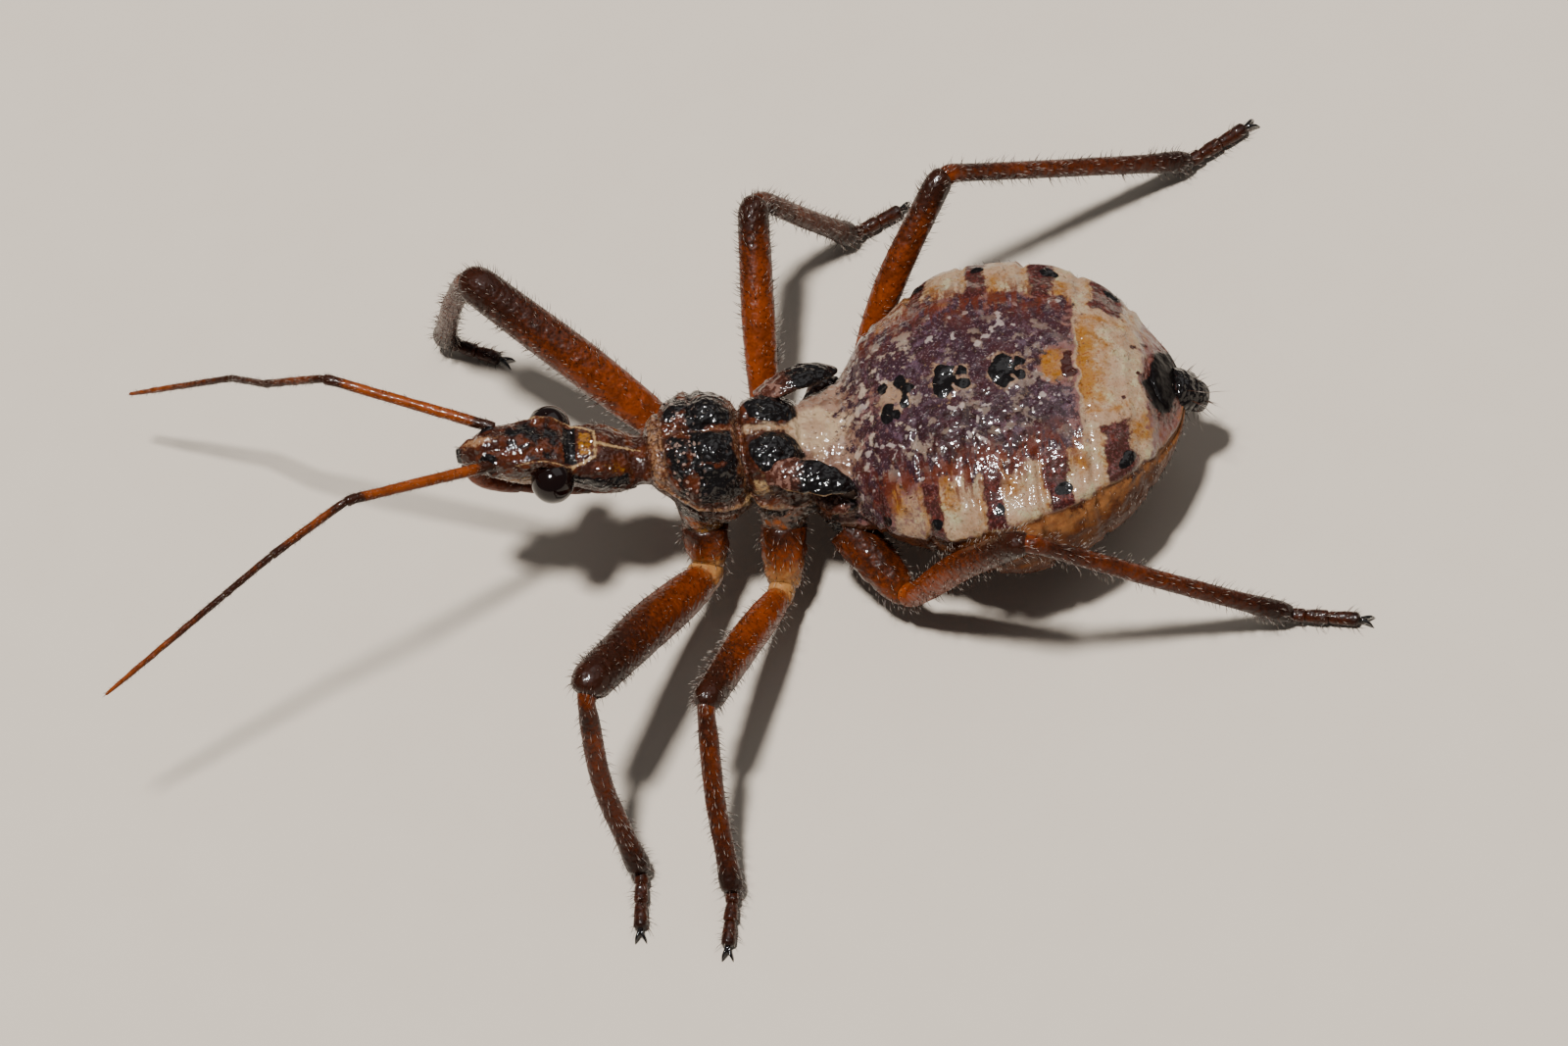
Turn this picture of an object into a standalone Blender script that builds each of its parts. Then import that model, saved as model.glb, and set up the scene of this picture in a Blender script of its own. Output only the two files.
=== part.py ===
"""Assassin bug nymph, a still life-size model in its standing pose.

Sizes are in millimetres and are turned to metres where a mesh is made.
X runs towards the head, Y to the bug's left and Z up from the floor.
"""

import math

import bmesh
import bpy
from mathutils import Matrix, Vector

MM = 0.001

# Clearance where two pieces meet face to face
GAP = 0.25

# The head is read along X, from the neck to the tip of the face
NECK_X = 2.42
FACE_X = 5.70
HEAD = {
    "half_width": [(2.42, 0.42), (2.70, 0.54), (3.00, 0.64), (3.40, 0.62), (4.00, 0.60),
                   (4.60, 0.58), (5.10, 0.44), (5.45, 0.31), (5.70, 0.15)],
    "widest": [(2.42, 3.40), (3.00, 3.58), (4.00, 3.98), (4.60, 4.18), (5.70, 4.42)],
    "top": [(2.42, 3.72), (2.70, 3.93), (3.12, 4.20), (3.60, 4.30), (3.85, 4.44),
            (4.40, 4.74), (5.05, 4.84), (5.45, 4.74), (5.70, 4.55)],
    "bottom": [(2.42, 3.05), (2.80, 3.04), (3.40, 3.24), (4.00, 3.48), (4.60, 3.68),
               (5.20, 3.92), (5.70, 4.28)],
}
HEAD_FULLNESS = 2.1

# The head is turned a little to the bug's right about the neck, in degrees
HEAD_TURN = -3.5

EYE_X = 4.00
EYE_Y = 0.54
EYE_Z = 4.11
EYE_RADIUS = 0.43
EYE_BACK_Y = 0.64

# The beak folds back under the head from the tip of the face
BEAK_PATH = [(5.46, 0, 3.84), (5.28, 0, 3.52), (4.80, 0, 3.20), (4.20, 0, 2.98),
             (3.60, 0, 2.76), (3.00, 0, 2.58), (2.62, 0, 2.50)]
BEAK_RADIUS = [(0.0, 0.24), (0.3, 0.25), (0.7, 0.21), (1.0, 0.09)]

PROTHORAX_X = (2.17, 0.62)
PROTHORAX = {
    "half_width": [(0.62, 1.02), (1.00, 1.20), (1.43, 1.22), (1.75, 1.05), (1.95, 0.86),
                   (2.17, 0.66)],
    "widest": [(0.62, 3.05), (1.43, 3.30), (2.17, 3.45)],
    "top": [(0.62, 3.90), (1.00, 4.06), (1.50, 4.13), (1.90, 4.12), (2.17, 3.96)],
    "bottom": [(0.62, 1.95), (1.43, 2.15), (1.90, 2.55), (2.17, 2.90)],
}
PROTHORAX_FULLNESS = 2.2

MESOTHORAX_X = (0.37, -0.48)
MESOTHORAX = {
    "half_width": [(-0.48, 1.00), (-0.10, 1.05), (0.37, 1.05)],
    "widest": [(-0.48, 2.62), (0.37, 2.90)],
    "top": [(-0.48, 3.42), (-0.08, 3.62), (0.37, 3.76)],
    "bottom": [(-0.48, 1.50), (0.37, 1.75)],
}
METATHORAX_X = (-0.73, -1.35)
METATHORAX = {
    "half_width": [(-1.35, 1.42), (-1.00, 1.25), (-0.73, 1.10)],
    "widest": [(-1.35, 2.20), (-0.73, 2.45)],
    "top": [(-1.35, 3.28), (-0.95, 3.24), (-0.73, 3.30)],
    "bottom": [(-1.35, 1.25), (-0.73, 1.42)],
}
THORAX_FULLNESS = 2.3

# The swollen abdomen carries its side margin above a wider belly
ABDOMEN_X = (-1.60, -7.72)
ABDOMEN = {
    "half_width": [(-7.72, 0.30), (-7.60, 0.74), (-7.30, 1.30), (-6.90, 1.86), (-6.40, 2.38),
                   (-5.70, 2.86), (-4.90, 3.14), (-4.20, 3.20), (-3.60, 3.04), (-3.00, 2.72),
                   (-2.50, 2.38), (-2.00, 2.08), (-1.60, 1.66)],
    "widest": [(-7.72, 2.20), (-6.90, 2.30), (-5.60, 2.40), (-4.20, 2.36), (-3.00, 2.52),
               (-2.00, 2.66), (-1.60, 2.40)],
    "top": [(-7.72, 2.40), (-7.50, 2.66), (-7.20, 3.08), (-6.80, 3.44), (-6.36, 3.66),
            (-5.80, 3.80), (-4.70, 4.00), (-3.60, 4.06), (-2.60, 3.88), (-2.00, 3.62),
            (-1.60, 3.34)],
    "bottom": [(-7.72, 2.00), (-7.40, 1.62), (-6.80, 1.24), (-6.00, 0.96), (-5.00, 0.80),
               (-4.00, 0.80), (-3.00, 0.96), (-2.00, 1.20), (-1.60, 1.34)],
}
ABDOMEN_FULLNESS = 2.25
MARGIN_HEIGHT = 0.50
MARGIN_SWELL = 0.07
FOLDS_X = (-1.95, -2.98, -4.02, -5.10, -6.10, -6.86)
FOLD_DEPTH = 0.06
FOLD_WIDTH = 0.13

TAIL_START = (-7.52, 0, 2.30)
TAIL_SLOPE = 46.0
TAIL_LENGTH = 0.52
TAIL_RADIUS = [(0.0, 0.44), (0.55, 0.42), (1.0, 0.24)]

# Wing pads, from the stub that carries each to its tip
PADS = {
    "fore_wing_pad": {
        "path": [(0.02, 0.94, 3.42), (-0.40, 1.06, 3.42), (-0.90, 1.18, 3.30), (-1.44, 1.30, 3.12)],
        "half_width": [(0.0, 0.30), (0.45, 0.34), (0.8, 0.24), (1.0, 0.05)],
        "half_depth": [(0.0, 0.15), (0.6, 0.13), (1.0, 0.05)],
    },
    "hind_wing_pad": {
        "path": [(-0.90, 1.04, 2.60), (-0.94, 1.30, 2.64), (-1.08, 1.40, 2.66), (-1.34, 1.40, 2.66)],
        "half_width": [(0.0, 0.16), (0.5, 0.15), (1.0, 0.05)],
        "half_depth": [(0.0, 0.14), (0.6, 0.11), (1.0, 0.05)],
    },
}

ANTENNA_BASE = (5.24, 0.50, 4.66)
ANTENNA_SEGMENTS = ["scape", "pedicel", "flagellum", "tip"]
ANTENNA_LENGTHS = {"scape": 3.00, "pedicel": 1.75, "flagellum": 1.15, "tip": 2.95}
ANTENNA_RADII = {"scape": (0.25, 0.25), "pedicel": (0.25, 0.25), "flagellum": (0.25, 0.24),
                 "tip": (0.24, 0.10)}
# Heading from straight ahead and lift from level, in degrees, for each segment
ANTENNA_POSES = {
    "left": {"scape": (23.9, 28.5), "pedicel": (17.0, -20.0), "flagellum": (20.9, -20.5),
             "tip": (21.5, -20.2)},
    "right": {"scape": (-24.9, 11.5), "pedicel": (-33.0, -34.5), "flagellum": (-44.0, -32.0),
              "tip": (-29.0, -34.0)},
}

# Each leg runs from a socket on the thorax to the hip, knee, ankle and toe
LEGS = {
    "front": {"thorax": "prothorax", "stub": 0.70, "socket": (1.52, 0.92, 2.08),
              "femur": 5.38, "tibia": 4.30, "tarsus": 1.16,
              "femur_depth": 0.47, "femur_width": 0.38, "tibia_radius": 0.25},
    "middle": {"thorax": "mesothorax", "stub": 0.50, "socket": (0.10, 1.05, 1.70),
               "femur": 4.36, "tibia": 3.70, "tarsus": 1.10,
               "femur_depth": 0.37, "femur_width": 0.34, "tibia_radius": 0.25},
    "hind": {"thorax": "metathorax", "stub": 0.30, "socket": (-1.16, 1.28, 1.55),
             "femur": 4.48, "tibia": 6.00, "tarsus": 1.30,
             "femur_depth": 0.36, "femur_width": 0.33, "tibia_radius": 0.25},
}
# Where each hip stands, headings and lift in degrees, and how far a segment bows
LEG_POSES = {
    "front": {
        "left": {"hip": (1.62, 1.40, 1.24), "femur_turn": 58.2, "femur_lift": 33.4,
                 "femur_bow": 0.10, "tibia_turn": 97.0, "tibia_bow": 0.24, "tarsus_turn": 80.9},
        "right": {"hip": (1.62, -1.40, 1.24), "femur_turn": -39.0, "femur_lift": 33.9,
                  "femur_bow": 0.10, "tibia_turn": -54.0, "tibia_bow": 0.08,
                  "tarsus_turn": 150.0},
    },
    "middle": {
        "left": {"hip": (0.34, 1.85, 0.86), "femur_turn": 65.5, "femur_lift": 29.8,
                 "femur_bow": 0.10, "tibia_turn": 84.4, "tibia_bow": 0.08, "tarsus_turn": 76.8},
        "right": {"hip": (0.20, -1.80, 0.90), "femur_turn": -100.0, "femur_lift": 37.2,
                  "femur_bow": 0.16, "tibia_turn": -149.8, "tibia_bow": 0.05,
                  "tarsus_turn": -156.0},
    },
    "hind": {
        "left": {"hip": (-1.95, 2.55, 0.86), "femur_turn": 150.8, "femur_lift": 49.9,
                 "femur_bow": 0.16, "tibia_turn": 178.2, "tibia_bow": 0.06, "tarsus_turn": 165.7},
        "right": {"hip": (-1.62, -2.40, 0.90), "femur_turn": -137.8, "femur_lift": 43.4,
                  "femur_bow": 0.34, "tibia_turn": -159.2, "tibia_bow": 0.06,
                  "tarsus_turn": -152.4},
    },
}
BOW_BEND = 6.0
ANKLE_Z = 0.26
TOE_Z = 0.13
COXA_RADIUS = 0.36
HIP_RADIUS = 0.27
TOE_RADIUS = 0.14
HIP_BEND = 0.42
KNEE_BEND = 0.36
ANKLE_BEND = 0.30
CLAW_LENGTH = 0.26
CLAW_RADIUS = 0.055
CLAW_SPREAD = 24.0

COLOURS = {
    "horn": (0.19, 0.07, 0.02),
    "dark": (0.03, 0.015, 0.01),
    "eye": (0.02, 0.008, 0.008),
    "skin": (0.30, 0.18, 0.12),
}
ROUGHNESS = {"horn": 0.30, "dark": 0.25, "eye": 0.12, "skin": 0.32}

SIDES = {"left": 1, "right": -1}
TRUNK_SIDES = 36
ABDOMEN_RINGS = 56
LIMB_SIDES = 12
FEELER_SIDES = 8
CLAW_SIDES = 5


def smooth(points, place):
    """Read a smooth, monotone curve through (place, value) points at one place."""
    places = [point[0] for point in points]
    values = [point[1] for point in points]
    if place <= places[0]:
        return values[0]
    if place >= places[-1]:
        return values[-1]
    steps = [b - a for a, b in zip(places, places[1:])]
    slopes = [(b - a) / step for a, b, step in zip(values, values[1:], steps)]
    tangents = [slopes[0]]
    for before, after in zip(slopes, slopes[1:]):
        if before * after <= 0:
            tangents.append(0.0)
        else:
            tangents.append(2 * before * after / (before + after))
    tangents.append(slopes[-1])
    i = max(k for k in range(len(steps)) if places[k] <= place)
    t = (place - places[i]) / steps[i]
    return ((1 + 2 * t) * (1 - t) ** 2 * values[i]
            + t * (1 - t) ** 2 * steps[i] * tangents[i]
            + t * t * (3 - 2 * t) * values[i + 1]
            + t * t * (t - 1) * steps[i] * tangents[i + 1])


def smoothed_path(points, count):
    """Spread count points along a smooth curve through the given ones."""
    knots = [Vector(point) for point in points]
    lengths = [0.0]
    for a, b in zip(knots, knots[1:]):
        lengths.append(lengths[-1] + (b - a).length)
    path = []
    for k in range(count):
        place = lengths[-1] * k / (count - 1)
        path.append(Vector([smooth([(at, knot[axis]) for at, knot in zip(lengths, knots)], place)
                            for axis in range(3)]))
    return path


def heading(turn, lift):
    """Unit vector from a heading and a lift in degrees."""
    turn = math.radians(turn)
    lift = math.radians(lift)
    return Vector((math.cos(lift) * math.cos(turn), math.cos(lift) * math.sin(turn), math.sin(lift)))


def mirrored(point, side):
    """A point of the left side, moved to the side asked for."""
    return Vector((point[0], point[1] * SIDES[side], point[2]))


def on_head(point):
    """Where a point of the straight head goes once the head is turned about the neck."""
    neck = Vector((NECK_X, 0, 0))
    return neck + Matrix.Rotation(math.radians(HEAD_TURN), 3, "Z") @ (Vector(point) - neck)


def bell(distance, width):
    """A bump of height 1 that fades over the width."""
    return math.exp(-(distance / width) ** 2)


def material(kind):
    """The plain finish of one kind of surface."""
    found = bpy.data.materials.get(kind)
    if found:
        return found
    finish = bpy.data.materials.new(kind)
    finish.use_nodes = True
    shader = finish.node_tree.nodes["Principled BSDF"]
    shader.inputs["Base Color"].default_value = (*COLOURS[kind], 1)
    shader.inputs["Roughness"].default_value = ROUGHNESS[kind]
    return finish


def add_object(name, mesh, kind, collection):
    """Turn a bmesh in millimetres into a named object."""
    bmesh.ops.scale(mesh, vec=(MM, MM, MM), verts=mesh.verts)
    bmesh.ops.recalc_face_normals(mesh, faces=mesh.faces)
    data = bpy.data.meshes.new(name)
    mesh.to_mesh(data)
    mesh.free()
    data.shade_smooth()
    data.set_sharp_from_angle(angle=math.radians(50))
    data.materials.append(material(kind))
    body = bpy.data.objects.new(name, data)
    collection.objects.link(body)
    return body


def loft(rings):
    """Closed mesh through rings of equal count, with flat ends."""
    mesh = bmesh.new()
    rows = [[mesh.verts.new(point) for point in ring] for ring in rings]
    count = len(rows[0])
    for low, high in zip(rows, rows[1:]):
        for k in range(count):
            after = (k + 1) % count
            mesh.faces.new((low[k], low[after], high[after], high[k]))
    mesh.faces.new(rows[0])
    mesh.faces.new(rows[-1])
    return mesh


def superellipse(angle, fullness):
    """Point of a unit superellipse, round at a fullness of 2."""
    across = math.cos(angle)
    up = math.sin(angle)
    return (math.copysign(abs(across) ** (2 / fullness), across),
            math.copysign(abs(up) ** (2 / fullness), up))


def trunk_ring(shape, fullness, x, relief=None):
    """Cross-section of the head, thorax or abdomen at one X."""
    half_width = smooth(shape["half_width"], x)
    widest = smooth(shape["widest"], x)
    rise = smooth(shape["top"], x) - widest
    fall = widest - smooth(shape["bottom"], x)
    ring = []
    for k in range(TRUNK_SIDES):
        across, up = superellipse(2 * math.pi * k / TRUNK_SIDES, fullness)
        point = Vector((x, half_width * across, widest + up * (rise if up > 0 else fall)))
        if relief:
            point += relief(point, across, up)
        ring.append(point)
    return ring


def evenly(start, end, count):
    """Places from start to end, both included."""
    return [start + (end - start) * k / (count - 1) for k in range(count)]


def eased(start, end, count):
    """Places from start to end, closer together at the end."""
    turns = [0.35 * math.pi + 0.15 * math.pi * (2 * k / (count - 1) - 1) for k in range(count)]
    first = math.sin(turns[0])
    last = math.sin(turns[-1])
    return [start + (end - start) * (math.sin(turn) - first) / (last - first) for turn in turns]


def tube_ring(centre, along, side, half_width, half_depth, count):
    """Oval ring square to a path, never below the floor."""
    side = (side - along * side.dot(along)).normalized()
    depth = along.cross(side)
    ring = []
    for k in range(count):
        angle = 2 * math.pi * (k + 0.5) / count
        point = centre + side * half_width * math.cos(angle) + depth * half_depth * math.sin(angle)
        point.z = max(point.z, 0.0)
        ring.append(point)
    return ring


def rounded_path(corners, bends):
    """Points 0.05 mm or less apart along straight runs joined by arcs, with the arcs' middles."""
    points = [corners[0]]
    middles = []
    for before, corner, after, radius in zip(corners, corners[1:], corners[2:], bends):
        into = (corner - before).normalized()
        out = (after - corner).normalized()
        turn = into.angle(out)
        reach = radius * math.tan(turn / 2)
        centre = corner - into * reach + (out - into * into.dot(out)).normalized() * radius
        spoke = corner - into * reach - centre
        axis = into.cross(out).normalized()
        start = sum((b - a).length for a, b in zip(points, points[1:]))
        start += (corner - into * reach - points[-1]).length
        for k in range(17):
            points.append(centre + Matrix.Rotation(turn * k / 16, 3, axis) @ spoke)
        middles.append(start + radius * turn / 2)
    points.append(corners[-1])
    fine = [points[0]]
    for a, b in zip(points, points[1:]):
        parts = max(1, math.ceil((b - a).length / 0.05))
        fine += [a.lerp(b, k / parts) for k in range(1, parts + 1)]
    return fine, middles


def stretch(path, start, end, turn=17.0, step=0.62):
    """Points of a path between two lengths, closer together where it bends."""
    lengths = [0.0]
    for a, b in zip(path, path[1:]):
        lengths.append(lengths[-1] + (b - a).length)

    def at(length):
        i = max(k for k in range(len(path) - 1) if lengths[k] <= length + 1e-9)
        along = (path[i + 1] - path[i]).normalized()
        return path[i] + along * (length - lengths[i]), along

    kept = [(start, *at(start))]
    for length, here, ahead in zip(lengths, path, path[1:]):
        along = (ahead - here).normalized()
        turned = math.degrees(along.angle(kept[-1][2]))
        if start < length < end - 0.08 and (turned > turn or length - kept[-1][0] > step):
            kept.append((length, here, along))
    kept.append((end, *at(end)))
    return kept


def limb(path, start, end, side, half_width, half_depth, count=LIMB_SIDES):
    """Closed tube along part of a path; the sizes are read from 0 at its start to 1 at its end."""
    rings = []
    for length, centre, along in stretch(path, start, end):
        share = (length - start) / (end - start)
        rings.append(tube_ring(centre, along, side, smooth(half_width, share),
                               smooth(half_depth, share), count))
    return loft(rings)


def stub(root, end, root_radius, end_radius, sides=LIMB_SIDES):
    """Short cone with flat ends, sunk in the body at its root."""
    axis = Vector(end) - Vector(root)
    turn = axis.to_track_quat("Z", "Y").to_matrix().to_4x4()
    place = Matrix.Translation((Vector(root) + Vector(end)) / 2) @ turn
    mesh = bmesh.new()
    bmesh.ops.create_cone(mesh, cap_ends=True, segments=sides, radius1=root_radius,
                          radius2=end_radius, depth=axis.length, matrix=place)
    return mesh


def fuse(body, pieces, kind):
    """Join closed pieces to a body in one union and keep the largest closed surface."""
    joined = bpy.data.collections.new("joined")
    bpy.context.scene.collection.children.link(joined)
    for piece in pieces:
        add_object("joined_piece", piece, kind, joined)
    union = body.modifiers.new("union", "BOOLEAN")
    union.operation = "UNION"
    union.operand_type = "COLLECTION"
    union.collection = joined
    union.solver = "EXACT"
    graph = bpy.context.evaluated_depsgraph_get()
    data = bpy.data.meshes.new_from_object(body.evaluated_get(graph))
    body.modifiers.clear()
    body.data = data
    for piece in list(joined.objects):
        bpy.data.objects.remove(piece)
    bpy.data.collections.remove(joined)
    keep_largest(data)


def keep_largest(data):
    """Keep the closed surface with the most faces."""
    mesh = bmesh.new()
    mesh.from_mesh(data)
    mesh.faces.ensure_lookup_table()
    unseen = set(mesh.faces)
    islands = []
    while unseen:
        island = {unseen.pop()}
        front = list(island)
        while front:
            face = front.pop()
            for edge in face.edges:
                for near in edge.link_faces:
                    if near in unseen:
                        unseen.discard(near)
                        island.add(near)
                        front.append(near)
        islands.append(island)
    largest = max(islands, key=len)
    loose = [face for face in mesh.faces if face not in largest]
    bmesh.ops.delete(mesh, geom=loose, context="FACES")
    mesh.to_mesh(data)
    mesh.free()


def cut_behind(mesh, point, normal):
    """Cut a closed mesh flat and drop what lies beyond the plane."""
    geometry = list(mesh.verts) + list(mesh.edges) + list(mesh.faces)
    bmesh.ops.bisect_plane(mesh, geom=geometry, plane_co=point, plane_no=normal, clear_outer=True)
    rim = [edge for edge in mesh.edges if edge.is_boundary]
    bmesh.ops.contextual_create(mesh, geom=rim)


def head_relief(point, across, up):
    """Flat eye seats, a groove behind the eyes and a shallow furrow on the nape."""
    seat = EYE_BACK_Y - GAP
    moved = Vector((0, 0, 0))
    hollow = bell(point.x - EYE_X, 0.52) ** 2
    if abs(point.y) > seat:
        reach = min(1.0, 1.9 * hollow)
        moved.y = -math.copysign((abs(point.y) - seat) * reach, point.y)
    if up > 0:
        moved.z -= 0.07 * bell(point.x - 3.62, 0.12) * up
        moved.z -= 0.05 * bell(point.y, 0.10) * bell(point.x - 2.85, 0.30)
    return moved


def prothorax_relief(point, across, up):
    """Two domed lobes on each side of a groove, behind a raised collar."""
    moved = Vector((0, 0, 0))
    if up > 0:
        moved.z -= 0.16 * bell(point.y, 0.15) * bell(point.x - 1.25, 0.62)
        moved.z -= 0.12 * bell(point.x - 1.98, 0.07) * up
        moved.z -= 0.07 * bell(point.x - 1.22, 0.10) * up
        moved.z += 0.05 * bell(abs(point.y) - 0.50, 0.25) * bell(point.x - 1.55, 0.22)
    return moved


def mesothorax_relief(point, across, up):
    """A pale keel between two raised plates."""
    moved = Vector((0, 0, 0))
    if up > 0:
        moved.z += 0.08 * bell(abs(point.y) - 0.45, 0.22) * bell(point.x + 0.05, 0.30)
        moved.z -= 0.05 * bell(point.y, 0.12)
    return moved


def abdomen_relief(point, across, up):
    """A swollen side margin and the folds between the rings of the abdomen."""
    moved = Vector((0, 0, 0))
    outward = Vector((0, across, up)).normalized()
    margin = bell(up - MARGIN_HEIGHT, 0.22) if up > 0 else 0.0
    moved += outward * MARGIN_SWELL * margin
    fold = sum(bell(point.x - place, FOLD_WIDTH) for place in FOLDS_X)
    moved -= outward * FOLD_DEPTH * fold * (0.45 + 0.55 * abs(across))
    return moved


def leg_corners(row, side):
    """The socket, hip, knee, ankle and toe of one leg."""
    sizes = LEGS[row]
    pose = LEG_POSES[row][side]
    socket = mirrored(sizes["socket"], side)
    hip = Vector(pose["hip"])
    knee = hip + heading(pose["femur_turn"], pose["femur_lift"]) * sizes["femur"]
    drop = knee.z - ANKLE_Z
    ankle = knee + heading(pose["tibia_turn"], 0) * math.sqrt(sizes["tibia"] ** 2 - drop ** 2)
    ankle.z = ANKLE_Z
    toe = ankle + heading(pose["tarsus_turn"], 0) * sizes["tarsus"]
    toe.z = TOE_Z
    return [socket, hip, knee, ankle, toe]


def make_leg(row, side, collection):
    """The coxa, femur, tibia and tarsus of one leg."""
    sizes = LEGS[row]
    pose = LEG_POSES[row][side]
    socket, hip, knee, ankle, toe = leg_corners(row, side)
    femur_bow = heading(pose["femur_turn"], pose["femur_lift"] + 90) * pose["femur_bow"]
    tibia_bow = Vector((pose["tibia_bow"], 0, 0))
    corners = [socket, hip, (hip + knee) / 2 + femur_bow, knee, (knee + ankle) / 2 + tibia_bow,
               ankle, toe]
    path, bends = rounded_path(corners, [HIP_BEND, BOW_BEND, KNEE_BEND, BOW_BEND, ANKLE_BEND])
    middles = bends[::2]
    total = sum((b - a).length for a, b in zip(path, path[1:]))
    leg_plane = (knee - hip).cross(ankle - knee).normalized()
    level = (toe - ankle).cross(Vector((0, 0, 1))).normalized()
    tibia = sizes["tibia_radius"]
    depth = sizes["femur_depth"]
    width = sizes["femur_width"]
    half = GAP / 2
    pieces = {
        "coxa": (GAP, middles[0] - half, leg_plane,
                 [(0.0, COXA_RADIUS), (0.55, 0.31), (1.0, HIP_RADIUS)],
                 [(0.0, COXA_RADIUS), (0.55, 0.31), (1.0, HIP_RADIUS)]),
        "femur": (middles[0] + half, middles[1] - half, leg_plane,
                  [(0.0, HIP_RADIUS), (0.12, 0.30), (0.40, width), (0.80, 0.29), (1.0, 0.26)],
                  [(0.0, HIP_RADIUS), (0.12, 0.32), (0.40, depth), (0.80, 0.30), (1.0, 0.26)]),
        "tibia": (middles[1] + half, middles[2] - half, leg_plane,
                  [(0.0, 0.26), (0.15, tibia), (0.85, tibia), (1.0, 0.23)],
                  [(0.0, 0.26), (0.15, tibia), (0.85, tibia + 0.01), (1.0, 0.23)]),
        "tarsus": (middles[2] + half, total, level,
                   [(0.0, 0.22), (0.5, 0.18), (1.0, TOE_RADIUS)],
                   [(0.0, 0.22), (0.5, 0.18), (1.0, TOE_RADIUS)]),
    }
    for piece, (start, end, across, half_width, half_depth) in pieces.items():
        mesh = limb(path, start, end, across, half_width, half_depth)
        name = f"{row}_leg_{side}_{piece}"
        kind = "skin" if piece == "coxa" else "horn"
        body = add_object(name, mesh, kind, collection)
        if piece == "tarsus":
            fuse(body, claws(ankle, toe), kind)


def claws(ankle, toe):
    """The pair of claws at a toe, each a short cone laid on the floor."""
    ahead = toe - ankle
    ahead.z = 0
    ahead.normalize()
    pair = []
    for spread in (-CLAW_SPREAD, CLAW_SPREAD):
        out = Matrix.Rotation(math.radians(spread), 3, "Z") @ ahead
        root = toe - ahead * 0.10
        end = toe + out * CLAW_LENGTH
        end.z = CLAW_RADIUS
        pair.append(stub(root, end, CLAW_RADIUS, CLAW_RADIUS * 0.4, CLAW_SIDES))
    return pair


def make_antenna(side, collection):
    """The four segments of one feeler."""
    base = on_head(mirrored(ANTENNA_BASE, side))
    corners = [base]
    for segment in ANTENNA_SEGMENTS:
        turn, lift = ANTENNA_POSES[side][segment]
        corners.append(corners[-1] + heading(turn, lift) * ANTENNA_LENGTHS[segment])
    path, middles = rounded_path(corners, [0.5, 0.5, 0.5])
    total = sum((b - a).length for a, b in zip(path, path[1:]))
    bounds = [GAP / 2] + middles + [total + GAP / 2]
    for k, segment in enumerate(ANTENNA_SEGMENTS):
        radius, end_radius = ANTENNA_RADII[segment]
        sizes = [(0.0, radius), (1.0, end_radius)]
        mesh = limb(path, bounds[k] + GAP / 2, bounds[k + 1] - GAP / 2, Vector((0, 0, 1)),
                    sizes, sizes, FEELER_SIDES)
        add_object(f"antenna_{side}_{segment}", mesh, "horn", collection)


def make_eye(side, collection):
    """A bulging eye with a flat back, set against its seat on the head."""
    sign = SIDES[side]
    mesh = bmesh.new()
    place = Matrix.Translation((EYE_X, EYE_Y * sign, EYE_Z))
    pole_out = Matrix.Rotation(math.radians(90), 4, "X")
    bmesh.ops.create_uvsphere(mesh, u_segments=20, v_segments=14, radius=EYE_RADIUS,
                              matrix=place @ pole_out)
    cut_behind(mesh, (EYE_X, EYE_BACK_Y * sign, EYE_Z), (0, -sign, 0))
    for vertex in mesh.verts:
        vertex.co = on_head(vertex.co)
    add_object(f"eye_{side}", mesh, "eye", collection)


def make_beak(collection):
    """The curved beak folded under the head."""
    path = [on_head(point) for point in smoothed_path(BEAK_PATH, 60)]
    total = sum((b - a).length for a, b in zip(path, path[1:]))
    mesh = limb(path, GAP, total, Vector((0, 1, 0)), BEAK_RADIUS, BEAK_RADIUS, FEELER_SIDES)
    add_object("beak", mesh, "horn", collection)


def make_wing_pad(name, side, collection):
    """One wing pad, a flattened tapered flap."""
    shape = PADS[name]
    path = smoothed_path([mirrored(point, side) for point in shape["path"]], 40)
    total = sum((b - a).length for a, b in zip(path, path[1:]))
    mesh = limb(path, GAP, total, Vector((0, 1, 0)), shape["half_width"], shape["half_depth"])
    add_object(f"{name}_{side}", mesh, "dark", collection)


def pad_stub(name, side):
    """The flat-ended root that carries a wing pad."""
    path = smoothed_path([mirrored(point, side) for point in PADS[name]["path"]], 40)
    along = (path[1] - path[0]).normalized()
    inward = Vector((0, -SIDES[side], 0))
    radius = PADS[name]["half_depth"][0][1] + 0.03
    return stub(path[0] - along * 0.30 + inward * 0.20, path[0], radius, radius)


def leg_stub(row, side):
    """The raised rim that carries a coxa."""
    sizes = LEGS[row]
    socket = mirrored(sizes["socket"], side)
    along = (Vector(LEG_POSES[row][side]["hip"]) - socket).normalized()
    return stub(socket - along * sizes["stub"], socket, COXA_RADIUS + 0.06, COXA_RADIUS + 0.03)


def make_head(collection):
    """The head with the stubs that carry the feelers and the beak."""
    rings = [trunk_ring(HEAD, HEAD_FULLNESS, x, head_relief) for x in evenly(NECK_X, FACE_X, 27)]
    mesh = loft([[on_head(point) for point in ring] for ring in rings])
    head = add_object("head", mesh, "horn", collection)
    pieces = []
    for side in SIDES:
        base = on_head(mirrored(ANTENNA_BASE, side))
        turn, lift = ANTENNA_POSES[side]["scape"]
        pieces.append(stub(base - heading(turn, lift) * 0.55, base, 0.24, 0.24))
    beak = [on_head(point) for point in smoothed_path(BEAK_PATH, 60)]
    along = (beak[1] - beak[0]).normalized()
    pieces.append(stub(beak[0] - along * 0.45, beak[0], 0.26, 0.24))
    fuse(head, pieces, "horn")


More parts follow.
